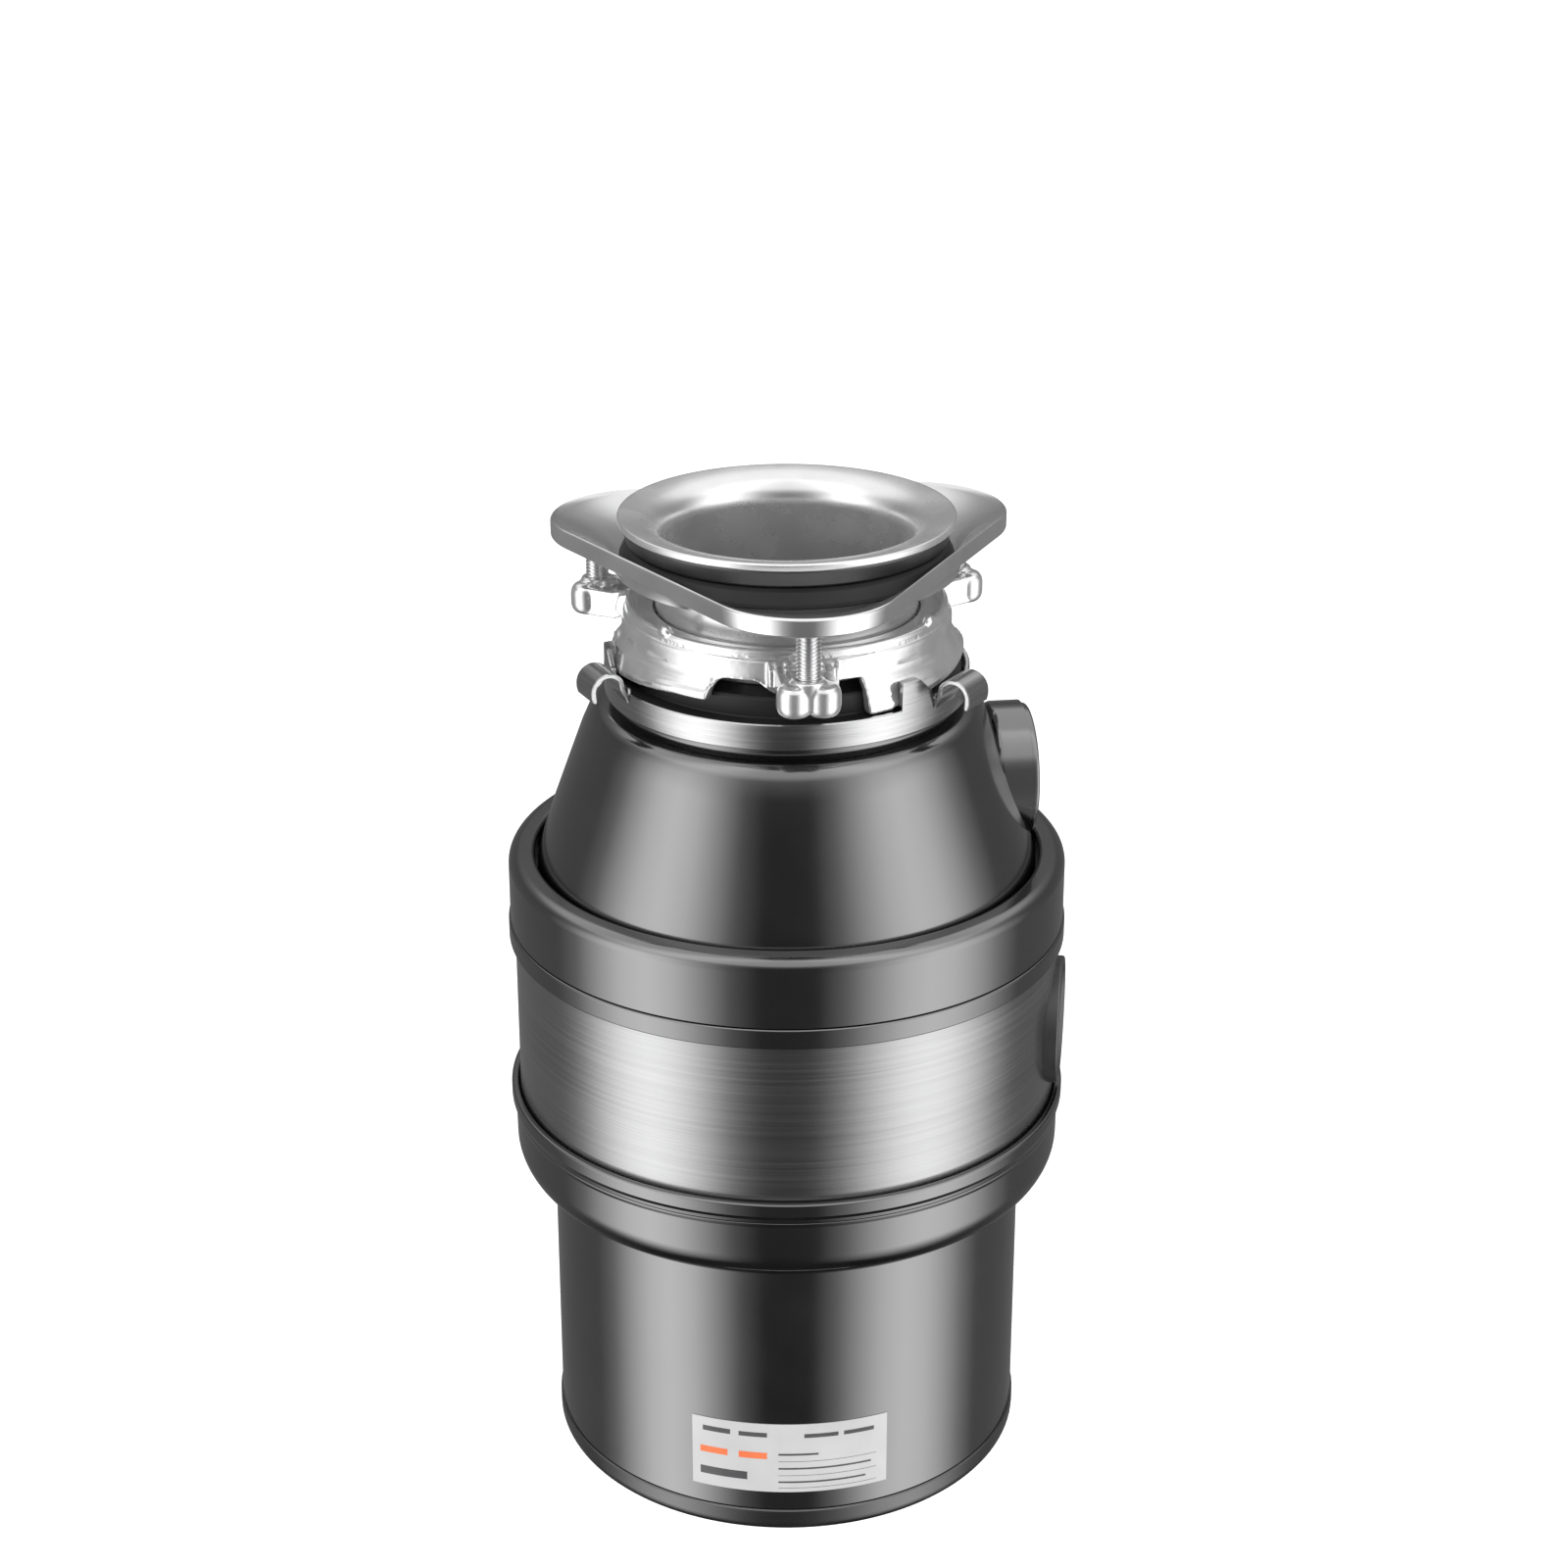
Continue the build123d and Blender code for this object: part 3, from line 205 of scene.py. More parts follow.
# every carried-over CAD node gets the procedural material of its slot
slots = {s["node"]: s["material_slot"] for s in frame["record"]["subparts"]}
for name, obj in frame["nodes"].items():
    mat = M.get(slots.get(name, ""), M["steel"])
    if name == "bottom_cover":
        mat = M["cover_black"]
    for ms in obj.material_slots:
        ms.material = mat


# ------------------------------------------------------------------ mesh helpers (millimetres in, metres out)
def fillet(points, closed=True, seg=5):
    """points are (r, z) or (r, z, radius): corners with a radius become arcs."""
    out = []
    n = len(points)
    for i, p in enumerate(points):
        rr = p[2] if len(p) > 2 else 0.0
        if rr <= 0 or (not closed and i in (0, n - 1)):
            out.append((p[0], p[1]))
            continue
        a, b = points[i - 1], points[(i + 1) % n]
        p0 = Vector((p[0], p[1]))
        va = Vector((a[0], a[1])) - p0
        vb = Vector((b[0], b[1])) - p0
        la, lb = va.length, vb.length
        va.normalize()
        vb.normalize()
        half = va.angle(vb) / 2
        d = min(rr / math.tan(half), la * 0.49, lb * 0.49)
        r = d * math.tan(half)
        bis = (va + vb).normalized()
        c = p0 + bis * (r / math.sin(half))
        s, e = p0 + va * d - c, p0 + vb * d - c
        a0 = math.atan2(s.y, s.x)
        da = math.atan2(e.y, e.x) - a0
        while da > math.pi:
            da -= 2 * math.pi
        while da < -math.pi:
            da += 2 * math.pi
        k = max(2, int(seg * abs(da) / (math.pi / 2)) + 1)
        for j in range(k + 1):
            t = a0 + da * j / k
            out.append((c.x + r * math.cos(t), c.y + r * math.sin(t)))
    return out


def link(name, bm, mat, body, slot=None, nodes=(), sharp=32.0, weighted=True):
    bmesh.ops.remove_doubles(bm, verts=bm.verts, dist=1e-7)
    bmesh.ops.recalc_face_normals(bm, faces=bm.faces)
    for f in bm.faces:
        f.smooth = True
    for e in bm.edges:
        if len(e.link_faces) == 2 and e.calc_face_angle(0.0) > rad(sharp):
            e.smooth = False
    me = bpy.data.meshes.new(name)
    bm.to_mesh(me)
    bm.free()
    me.materials.append(mat)
    ob = bpy.data.objects.new(name, me)
    bpy.context.scene.collection.objects.link(ob)
    if weighted:
        w = ob.modifiers.new("weighted", "WEIGHTED_NORMAL")
        w.keep_sharp = True
    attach(ob, body)
    if nodes:
        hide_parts(*nodes)
    return ob


def grid(bm, rows, close_u, close_v):
    """rows[i][j] are points; makes the quads between them."""
    vs = [[bm.verts.new(p) for p in row] for row in rows]
    nu, nv = len(vs), len(vs[0])
    for i in range(nu if close_u else nu - 1):
        for j in range(nv if close_v else nv - 1):
            a, b = vs[i][j], vs[i][(j + 1) % nv]
            c, d = vs[(i + 1) % nu][(j + 1) % nv], vs[(i + 1) % nu][j]
            if len({a, b, c, d}) == 4:
                bm.faces.new((a, b, c, d))
    return vs


def revolve(bm, prof, n=224, a0=0.0, a1=360.0):
    """A closed (r, z) profile turned about Z, all round or through a sector with closed ends."""
    full = abs(a1 - a0 - 360.0) < 1e-6
    k = n if full else max(2, int(n * (a1 - a0) / 360.0))
    rows = []
    for i in range(k if full else k + 1):
        t = rad(a0 + (a1 - a0) * i / k)
        c, s = math.cos(t), math.sin(t)
        rows.append([(r * c * MM, r * s * MM, z * MM) for r, z in prof])
    vs = grid(bm, rows, full, True)
    if not full:
        bm.faces.new(vs[0])
        bm.faces.new(list(reversed(vs[-1])))
    return vs


def lathe(name, points, mat, body, slot=None, nodes=(), n=224, seg=5, **kw):
    bm = bmesh.new()
    revolve(bm, fillet(points, seg=seg), n)
    return link(name, bm, mat, body, slot, nodes, **kw)


def turned_along(bm, prof, origin, axis, n=128):
    """A closed (radius, distance) profile turned about a line."""
    axis = Vector(axis).normalized()
    side = axis.cross(Vector((0, 0, 1))).normalized()
    up = side.cross(axis)
    rows = []
    for i in range(n):
        t = 2 * math.pi * i / n
        d = side * math.cos(t) + up * math.sin(t)
        rows.append([(Vector(origin) + d * r + axis * h) * MM for r, h in prof])
    return grid(bm, rows, True, True)


def extruded(bm, outline, to3d, w0, w1):
    """A closed 2-D outline carried from w0 to w1 by to3d(u, v, w)."""
    a = [bm.verts.new(to3d(u, v, w0)) for u, v in outline]
    b = [bm.verts.new(to3d(u, v, w1)) for u, v in outline]
    n = len(outline)
    for i in range(n):
        bm.faces.new((a[i], a[(i + 1) % n], b[(i + 1) % n], b[i]))
    bm.faces.new(list(reversed(a)))
    bm.faces.new(b)


def local3d(angle):
    """u radial, v up, w tangential, at an angle round the axis."""
    c, s = math.cos(rad(angle)), math.sin(rad(angle))
    return lambda u, v, w: ((u * c - w * s) * MM, (u * s + w * c) * MM, v * MM)


# ------------------------------------------------------------------ sink flange and gaskets
lathe("sink_flange_rim", [
    (42.4, 304.2, 0.4), (42.4, 339.0), (42.5, 341.0), (43.0, 343.0), (43.9, 344.9), (45.2, 346.5), (47.0, 347.9),
    (49.2, 348.8), (52.0, 349.4), (55.0, 349.85), (57.0, 349.95, 0.9), (57.0, 347.35, 0.7), (55.6, 347.3),
    (48.2, 347.3, 0.8), (45.8, 345.2, 1.0), (44.6, 342.0, 1.0), (44.6, 315.4), (43.5, 315.4), (43.5, 312.8),
    (44.6, 312.8), (44.6, 304.2, 0.4)], M["rim_steel"], "unit", "polished_steel", ["sink_flange"])
lathe("sink_gasket_ring", [
    (46.2, 341.1), (53.4, 341.1, 0.5), (54.3, 341.9, 0.6), (55.5, 346.4, 0.6), (55.3, 347.28, 0.4), (48.4, 347.28),
    (46.2, 345.2)], M["rubber"], "unit", "rubber", ["sink_gasket"])
lathe("lower_gasket_ring", [
    (45.6, 334.55), (56.4, 334.55, 0.6), (56.5, 336.0, 0.7), (54.7, 339.6, 1.0), (53.2, 340.75, 0.5),
    (45.6, 340.75)], M["rubber_dark"], "backup_flange_body", "rubber", ["fibre_gasket"])

# ------------------------------------------------------------------ backing flange: a pan with a rounded triangular rim
SIDE, TIP, EAR_R = 58.9, 86.0, 72.5
CORNER_RAD = 2 * SIDE - TIP
CORNER_R = TIP - CORNER_RAD


def outline_r(theta, off=0.0):
    """Distance from the axis to the backing flange's edge at theta degrees, moved in by off."""
    d = min(abs((theta - b + 180) % 360 - 180) for b in BOSS)
    r = CORNER_RAD - off
    split = math.degrees(math.atan2(r * math.sin(rad(60)), CORNER_R + r * 0.5))
    if d <= split:
        return CORNER_R * math.cos(rad(d)) + math.sqrt(r * r - (CORNER_R * math.sin(rad(d))) ** 2)
    return (SIDE - off) / math.cos(rad(60 - d))


bm = bmesh.new()
rows = []
N = 720
for i in range(N):
    th = 360.0 * i / N
    R = outline_r(th)
    Ri = outline_r(th, 2.2)
    Rt = outline_r(th, 1.5)
    sec = [(45.6, 332.3), (45.6, 334.2), (45.9, 334.5), (52.0, 334.5), (56.7, 334.5)]
    for k in range(1, 13):
        u = k / 12
        r = 57.0 + (Rt - 57.0) * u
        z = 334.5 + 6.6 * (0.6 * u + 0.4 * u * u * (3 - 2 * u))
        sec.append((r, z))
    for k in range(1, 7):
        a = math.pi / 2 * k / 6
        sec.append((R - 1.25 + 1.25 * math.sin(a), 340.35 + 1.25 * math.cos(a)))
    sec.append((R, 338.0))
    for k in range(1, 6):
        a = math.pi / 2 * k / 5
        sec.append((R - 1.1 + 1.1 * math.cos(a), 336.3 - 1.1 * math.sin(a)))
    sec.append((Ri, 335.3))
    w = max(0.0, min(1.0, (Ri - 59.0) / 8.0))
    for k in range(1, 6):
        u = 1 - k / 5
        r = 58.4 + (Ri - 58.4) * u
        sec.append((r, 331.95 + (3.4 + 3.1 * w) * u))
    sec.append((47.0, 331.95))
    c, s_ = math.cos(rad(th)), math.sin(rad(th))
    rows.append([(r * c * MM, r * s_ * MM, z * MM) for r, z in sec])
grid(bm, rows, True, True)
link("backing_flange_plate", bm, M["polished_steel"], "backup_flange_body", "polished_steel", ["backup_flange"],
     sharp=48)

# ------------------------------------------------------------------ clamp screws with a real helical thread
PITCH = 1.25
for k, a in zip("abc", BOSS):
    px, py = EAR_R * math.cos(rad(a)), EAR_R * math.sin(rad(a))
    bm = bmesh.new()
    rows = []
    z0, z1 = 306.0, 333.4
    steps = int((z1 - z0) / PITCH * 10)
    for i in range(steps + 1):
        z = z0 + (z1 - z0) * i / steps
        row = []
        for j in range(48):
            t = 2 * math.pi * j / 48
            ph = ((z - PITCH * j / 48) / PITCH) % 1.0
            tri = abs(ph - 0.5) * 2
            prof = min(1.0, max(0.0, (tri - 0.22) / 0.6))
            fade = min(1.0, (z - z0) / 1.0, (z1 - z) / 1.0)
            r = 3.98 - 0.62 * prof * max(0.0, fade) - 0.35 * (1 - max(0.0, fade))
            row.append(((px + r * math.cos(t)) * MM, (py + r * math.sin(t)) * MM, z * MM))
        rows.append(row)
    vs = grid(bm, rows, False, True)
    tip = [bm.verts.new(((px + 1.6 * math.cos(2 * math.pi * j / 48)) * MM,
                         (py + 1.6 * math.sin(2 * math.pi * j / 48)) * MM, 334.45 * MM)) for j in range(48)]
    for j in range(48):
        bm.faces.new((vs[-1][j], vs[-1][(j + 1) % 48], tip[(j + 1) % 48], tip[j]))
    bm.faces.new(tip)
    bm.faces.new(list(reversed(vs[0])))
    link(f"clamp_screw_{k}", bm, M["screw_steel"], f"screw_{k}", "steel", [f"mounting_screw_{k}"], sharp=70,
         weighted=False)

def boolean(target, tool, op):
    m = target.modifiers.new("cut", "BOOLEAN")
    m.operation = op
    m.solver = "EXACT"
    m.object = tool
    deps = bpy.context.evaluated_depsgraph_get()
    deps.update()
    me = bpy.data.meshes.new_from_object(target.evaluated_get(deps))
    target.modifiers.clear()
    target.data = me
    bpy.data.objects.remove(tool)


def raw(name, bm):
    bmesh.ops.remove_doubles(bm, verts=bm.verts, dist=1e-7)
    bmesh.ops.recalc_face_normals(bm, faces=bm.faces)
    me = bpy.data.meshes.new(name)
    bm.to_mesh(me)
    bm.free()
    ob = bpy.data.objects.new(name, me)
    bpy.context.scene.collection.objects.link(ob)
    return ob


# ------------------------------------------------------------------ cast mounting ring
R0, R1, R2 = 21.6, 76.0, 88.6


def ease(t):
    t = max(0.0, min(1.0, t))
    return t * t * (3 - 2 * t)


def skirt_bottom(rel):
    """Lower edge of the cast ring at an angle from a boss: ramp, rounded gap, boss."""
    if rel < 9.0:
        return 307.0
    if rel < 13.0:
        return 307.0 + 2.4 * ease((rel - 9.0) / 4.0)
    if rel < R0 - 1.6:
        return 309.4
    if rel < R0:
        return 309.4 - 12.2 * ease((rel - R0 + 1.6) / 1.6)
    if rel < R1:
        return 297.2 + 5.3 * (rel - R0) / (R1 - R0)
    if rel < R2:
        return 302.5
    if rel < R2 + 5.6:
        u = 1 - (rel - R2) / 5.6
        return 302.5 + 7.2 * math.sqrt(max(0.0, 1 - u * u))
    if rel < 103.0:
        return 309.7
    return 309.7 - 3.4 * ease((rel - 103.0) / 8.5)


bm = bmesh.new()
revolve(bm, fillet([
    (45.2, 315.45), (45.2, 317.7, 0.3), (45.8, 318.2, 0.3), (51.0, 318.2, 0.5), (51.8, 319.6, 0.7),
    (53.2, 320.3, 0.7), (54.6, 319.5, 0.7), (54.9, 317.9, 0.5), (54.2, 316.9, 0.4), (55.4, 316.9, 0.6),
    (56.0, 315.6, 0.8), (56.0, 311.0), (52.7, 311.0), (52.7, 315.45)]), 300)
rows = []
for i in range(1080):
    th = i / 3.0
    rel = (th - BOSS[0]) % 120
    zb = skirt_bottom(rel)
    k = max(0.0, min(1.0, (308.8 - zb) / 5.8))
    lr = 56.3 + 3.9 * k
    zt = zb + 2.6
    sec = [(55.95, 312.5), (55.95, max(310.2, zb + 0.8)), (56.1 + 0.6 * k, max(308.7, zb + 0.7)),
           (56.2 + 1.6 * k, max(307.3, zb + 0.65)), (56.3 + 2.2 * k, max(305.9, zb + 0.6)),
           (lr - 0.35, zt if k > 0.5 else zb + 0.55), (lr, zb + (2.2 if k > 0.5 else 0.5)), (lr, zb + 0.4),
           (lr - 0.4, zb), (54.0 + 1.9 * k, zb), (53.2 + 2.4 * k, zb + 0.4), (53.2 + 2.4 * k, max(305.4, zb + 0.5)),
           (52.7, max(308.4, zb + 0.9)), (52.7, 312.5)]
    c, s_ = math.cos(rad(th)), math.sin(rad(th))
    rows.append([(r * c * MM, r * s_ * MM, z * MM) for r, z in sec])
grid(bm, rows, True, True)
for b in BOSS:
    # thick foot where a ramp starts
    revolve(bm, [(56.0, 297.4), (60.15, 297.4), (60.15, 300.9), (59.5, 301.9), (59.9, 302.9), (59.6, 303.9),
                 (58.5, 304.3), (58.0, 307.0), (56.0, 307.6)], 720, b + R0 + 0.2, b + 30.0)
    # arm: floor, two side ribs that run down from the wall, and the collar round the screw
    to = local3d(b)
    extruded(bm, [(54.2, 309.8), (58.8, 306.9), (61.2, 305.9), (74.0, 305.7), (74.0, 312.6), (60.0, 312.6),
                  (54.2, 314.0)], to, -9.1, 9.1)
    for w0, w1 in ((-9.3, -6.4), (6.4, 9.3)):
        extruded(bm, [(54.2, 309.8), (58.8, 306.8), (61.2, 305.8), (74.0, 305.6), (74.0, 315.3), (62.0, 315.2),
                      (57.6, 316.3), (54.2, 316.6)], to, w0, w1)
    for side in (-1, 1):
        extruded(bm, [(54.2, 309.6), (57.8, 307.6), (60.2, 310.0), (58.6, 315.2), (54.2, 316.4)], to,
                 side * 8.4, side * 11.4)
        prof = [(0.01, 305.2), (2.8, 305.2), (4.4, 305.6), (5.4, 306.7), (5.9, 308.4), (5.9, 312.6),
                (5.5, 314.2), (4.6, 315.4), (3.2, 316.0), (0.01, 316.2)]
        rows = []
        for i in range(40):
            t = 2 * math.pi * i / 40
            rows.append([to(EAR_R + 1.5 + r * math.cos(t), z, side * 4.6 + r * math.sin(t)) for r, z in prof])
        grid(bm, rows, True, True)
    rows = []
    for i in range(40):
        t = 2 * math.pi * i / 40
        rows.append([to(EAR_R + r * math.cos(t), z, r * math.sin(t)) for r, z in
                     ((0.01, 308.0), (6.2, 308.0), (6.2, 314.6), (5.4, 317.2), (0.01, 317.4))])
    grid(bm, rows, True, True)
# small cast nubs on the collar
for a in (-129.6, -21.0, 100.0):
    m = (Matrix.Translation((53.6 * math.cos(rad(a)) * MM, 53.6 * math.sin(rad(a)) * MM, 320.2 * MM))
         @ Matrix.Rotation(rad(a), 4, "Z") @ Matrix.Diagonal((0.9, 1.25, 1.0, 1.0)))
    bmesh.ops.create_icosphere(bm, subdivisions=3, radius=2.1 * MM, matrix=m)
bmesh.ops.remove_doubles(bm, verts=bm.verts, dist=1e-6)
bmesh.ops.recalc_face_normals(bm, faces=bm.faces)
me = bpy.data.meshes.new("mounting_ring_cast")
bm.to_mesh(me)
bm.free()
ring = bpy.data.objects.new("mounting_ring_cast", me)
bpy.context.scene.collection.objects.link(ring)
rm = ring.modifiers.new("remesh", "REMESH")
rm.mode = "VOXEL"
rm.voxel_size = 0.00045
sm = ring.modifiers.new("smooth", "SMOOTH")
sm.factor = 0.5
sm.iterations = 6
bpy.context.view_layer.objects.active = ring
deps = bpy.context.evaluated_depsgraph_get()
baked = bpy.data.meshes.new_from_object(ring.evaluated_get(deps))
ring.modifiers.clear()
ring.data = baked
# screw holes are bored after the smoothing, so they stay round
b = bmesh.new()
for a in BOSS:
    cx, cy = EAR_R * math.cos(rad(a)), EAR_R * math.sin(rad(a))
    grid(b, [[((cx + r * math.cos(math.pi * j / 24)) * MM, (cy + r * math.sin(math.pi * j / 24)) * MM, z * MM)
              for r, z in ((0.01, 300.0), (4.14, 300.0), (4.14, 322.0), (0.01, 322.0))] for j in range(48)], True, True)
boolean(ring, raw("clamp_holes", b), "DIFFERENCE")
baked = ring.data
for p in baked.polygons:
    p.use_smooth = True
baked.materials.clear()
baked.materials.append(M["cast_zinc"])
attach(ring, "unit")
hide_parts("mounting_ring")

# ------------------------------------------------------------------ twist lock ring
LI, LO = 60.75, 62.4


def smooth01(t):
    t = max(0.0, min(1.0, t))
    return t * t * (3 - 2 * t)


def lock_top(rel):
    """Upper edge of the ring at an angle from a boss: plain band, tab, slope, slot, lug foot."""
    pts = [(0, 297.3), (31.6, 297.3), (31.8, 298.0), (30.6 + 1.25, 306.2), (32.6, 306.75), (38.8, 306.6), (39.6, 306.0),
           (43.5, 302.2), (44.6, 301.6), (45.0, 300.9), (45.15, 298.2), (46.0, 298.0), (46.2, 299.0), (57.0, 299.0),
           (57.4, 297.4), (120, 297.3)]
    for (a, za), (b, zb) in zip(pts, pts[1:]):
        if a <= rel <= b:
            return za + (zb - za) * (rel - a) / max(1e-6, b - a)
    return 297.3


bm = bmesh.new()
rows = []
N = 2160
for i in range(N):
    th = 360.0 * i / N
    rel = (th - BOSS[0]) % 120
    zt = lock_top(rel)
    c, s = math.cos(rad(th)), math.sin(rad(th))
    sec = [(57.0, 288.2), (61.3, 288.2), (62.1, 288.4), (LO, 289.0), (LO, 292.0), (LO, zt - 0.4), (LO - 0.35, zt),
           (LI + 0.35, zt), (LI, zt - 0.4), (LI, 292.0), (LI, 290.4), (60.3, 290.1), (57.0, 290.1), (56.8, 289.9),
           (56.8, 288.4)]
    rows.append([(r * c * MM, r * s * MM, z * MM) for r, z in sec])
grid(bm, rows, True, True)
for b in BOSS:
    # hook of the tab over the ramp
    revolve(bm, fillet([(58.95, 304.6, 0.3), (61.0, 304.6), (61.0, 306.75), (58.95, 306.7, 0.5)]), 720,
            b + 32.2, b + 39.0)
    # rolled lug
    leg, rl, zl = 63.2, 6.05, 299.5
    rc = leg + rl
    o = [(62.4, 294.2), (60.85, 294.2), (61.4, 296.4), (62.6, 298.2), (leg, zl)]
    for i in range(1, 19):
        t = math.pi - math.pi * i / 18
        o.append((rc + rl * math.cos(t), zl + rl * math.sin(t)))
    o += [(rc + rl - 0.05, zl - 1.6), (rc + rl - 0.5, zl - 3.4), (rc + rl - 1.2, zl - 3.9), (rc + rl - 1.9, zl - 3.3),
          (rc + rl - 1.75, zl - 1.6)]
    for i in range(19):
        t = math.pi * i / 18
        o.append((rc + (rl - 1.7) * math.cos(t), zl + (rl - 1.7) * math.sin(t)))
    o += [(64.3, 297.8), (63.1, 296.0)]
    to = local3d(b + 51.6)
    n0 = len(bm.faces)
    a_row = None
    wl = ((-6.6, 0.3), (-6.3, 0.0), (6.3, 0.0), (6.6, 0.3))
    cu = sum(p[0] for p in o) / len(o)
    loops = []
    for w, inset in wl:
        pts = []
        m = len(o)
        for i in range(m):
            u, v = o[i]
            if inset:
                ua, va = o[i - 1]
                ub, vb = o[(i + 1) % m]
                dx, dy = ub - ua, vb - va
                ln = math.hypot(dx, dy) or 1.0
                u, v = u + dy / ln * inset, v - dx / ln * inset
            pts.append(to(u, v, w))
        loops.append(pts)
    vs = grid(bm, loops, False, True)
    bm.faces.new(vs[0])
    bm.faces.new(list(reversed(vs[-1])))
link("lock_ring_band", bm, M["brushed_ring"], "lock_ring_body", "brushed_steel", ["lock_ring"], sharp=38)

# ------------------------------------------------------------------ mounting gasket and splash guard
lathe("mounting_gasket_body", [
    (41.6, 294.15), (59.7, 294.15, 0.4), (59.7, 296.2, 0.4), (55.3, 296.9, 0.5), (55.2, 303.2, 0.8),
    (54.2, 304.1, 0.5), (41.6, 304.1)], M["rubber_dark"], "unit", "rubber", ["mounting_gasket"])
bm = bmesh.new()
revolve(bm, fillet([(36.6, 298.4), (41.45, 299.0), (41.45, 301.0), (37.4, 301.0, 0.5), (36.2, 300.0, 0.5)]), 128)
for k in range(8):
    a0, a1 = 45 * k + 12.0, 45 * k + 55.0
    rows = []
    for i in range(13):
        th = a0 + (a1 - a0) * i / 12
        e = abs(i - 6) / 6.0
        sag = 1.4 * (1 - e * e)
        sec = []
        for r, zt in ((37.2, 299.6), (33.0, 299.2), (26.0, 298.4 - sag * 0.35), (19.0, 297.4 - sag * 0.8),
                      (13.0, 296.4 - sag)):
            sec.append((r, zt))
        sec += [(r, z - 1.5) for r, z in reversed(sec)]
        c, s = math.cos(rad(th)), math.sin(rad(th))
        # edges of each flap run parallel to the slit
        rows.append([(r * c * MM, r * s * MM, z * MM) for r, z in sec])
    vs = grid(bm, rows, False, True)
    bm.faces.new(vs[0])
    bm.faces.new(list(reversed(vs[-1])))
link("splash_guard_flaps", bm, M["rubber"], "unit", "rubber", ["splash_guard"], sharp=40)

# ------------------------------------------------------------------ container cone with the dishwasher inlet
INL, INLZ = 15.5, 253.0
ia = (math.cos(rad(INL)), math.sin(rad(INL)), 0.0)
cone = [(46.0, 294.0, 0.4), (60.0, 294.0, 0.3), (60.0, 290.6, 0.3), (56.4, 290.6), (56.4, 287.9), (58.4, 287.9, 0.4),
        (58.4, 285.0, 1.2), (62.8, 284.5), (64.6, 284.1), (66.1, 283.1), (67.2, 281.7), (68.2, 279.9),
        (70.8, 274.0), (75.9, 260.0), (81.3, 245.0), (84.3, 236.0), (86.4, 228.6), (86.9, 226.0), (87.0, 223.0),
        (87.0, 216.0), (93.0, 216.0), (93.0, 213.0), (83.0, 213.0), (83.0, 221.0), (82.6, 228.0), (77.4, 245.0),
        (71.9, 260.0), (66.2, 275.2), (63.4, 279.6), (60.0, 281.6), (52.5, 282.6), (52.5, 286.5), (46.0, 288.5)]


def inlet_tool(name, prof, n=128):
    b = bmesh.new()
    turned_along(b, prof, (0, 0, INLZ), ia, n)
    return raw(name, b)


def finish_cut(ob, mat, body, nodes, smooth_normal=None, sharp=30.0):
    """Sharp edges by angle, then exact normals where the surface is one of revolution."""
    b = bmesh.new()
    b.from_mesh(ob.data)
    bmesh.ops.dissolve_degenerate(b, dist=1e-6, edges=b.edges)
    for f in b.faces:
        f.smooth = True
    for e in b.edges:
        e.smooth = not (len(e.link_faces) == 2 and e.calc_face_angle(0.0) > rad(sharp))
    b.to_mesh(ob.data)
    b.free()
    me = ob.data
    me.materials.clear()
    me.materials.append(mat)
    if smooth_normal:
        base = [tuple(l.normal) for l in me.corner_normals] if False else [tuple(c.vector) for c in me.corner_normals]
        out = list(base)
        for p in me.polygons:
            for li in p.loop_indices:
                v = me.vertices[me.loops[li].vertex_index].co
                nn = smooth_normal(v / MM, p.normal, p.center / MM)
                if nn is not None:
                    out[li] = nn
        me.normals_split_custom_set(out)
    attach(ob, body)
    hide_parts(*nodes)


bm = bmesh.new()
revolve(bm, fillet(cone, seg=6), 256)
hop = raw("container_cone", bm)
# neck and drum of the inlet, rooted in the wall
boolean(hop, inlet_tool("boss", [(0.01, 64.0), (21.6, 64.0), (21.6, 70.2), (22.6, 70.6), (23.6, 71.2), (24.0, 72.4),
                                 (24.0, 82.4), (0.01, 82.4)]), "UNION")
b = bmesh.new()
revolve(b, [(0.01, 215.0), (79.4, 215.0), (79.0, 228.0), (73.8, 246.0), (68.2, 260.0), (63.0, 274.0), (60.0, 279.0),
            (0.01, 281.0)], 192)
boolean(hop, raw("room", b), "DIFFERENCE")
boolean(hop, inlet_tool("seat", [(0.01, 82.4), (24.3, 82.4), (24.3, 110.0), (0.01, 110.0)]), "DIFFERENCE")
boolean(hop, inlet_tool("bore", [(0.01, 50.0), (20.0, 50.0), (20.0, 100.0), (0.01, 100.0)]), "DIFFERENCE")

cone_line = fillet(cone, seg=6)


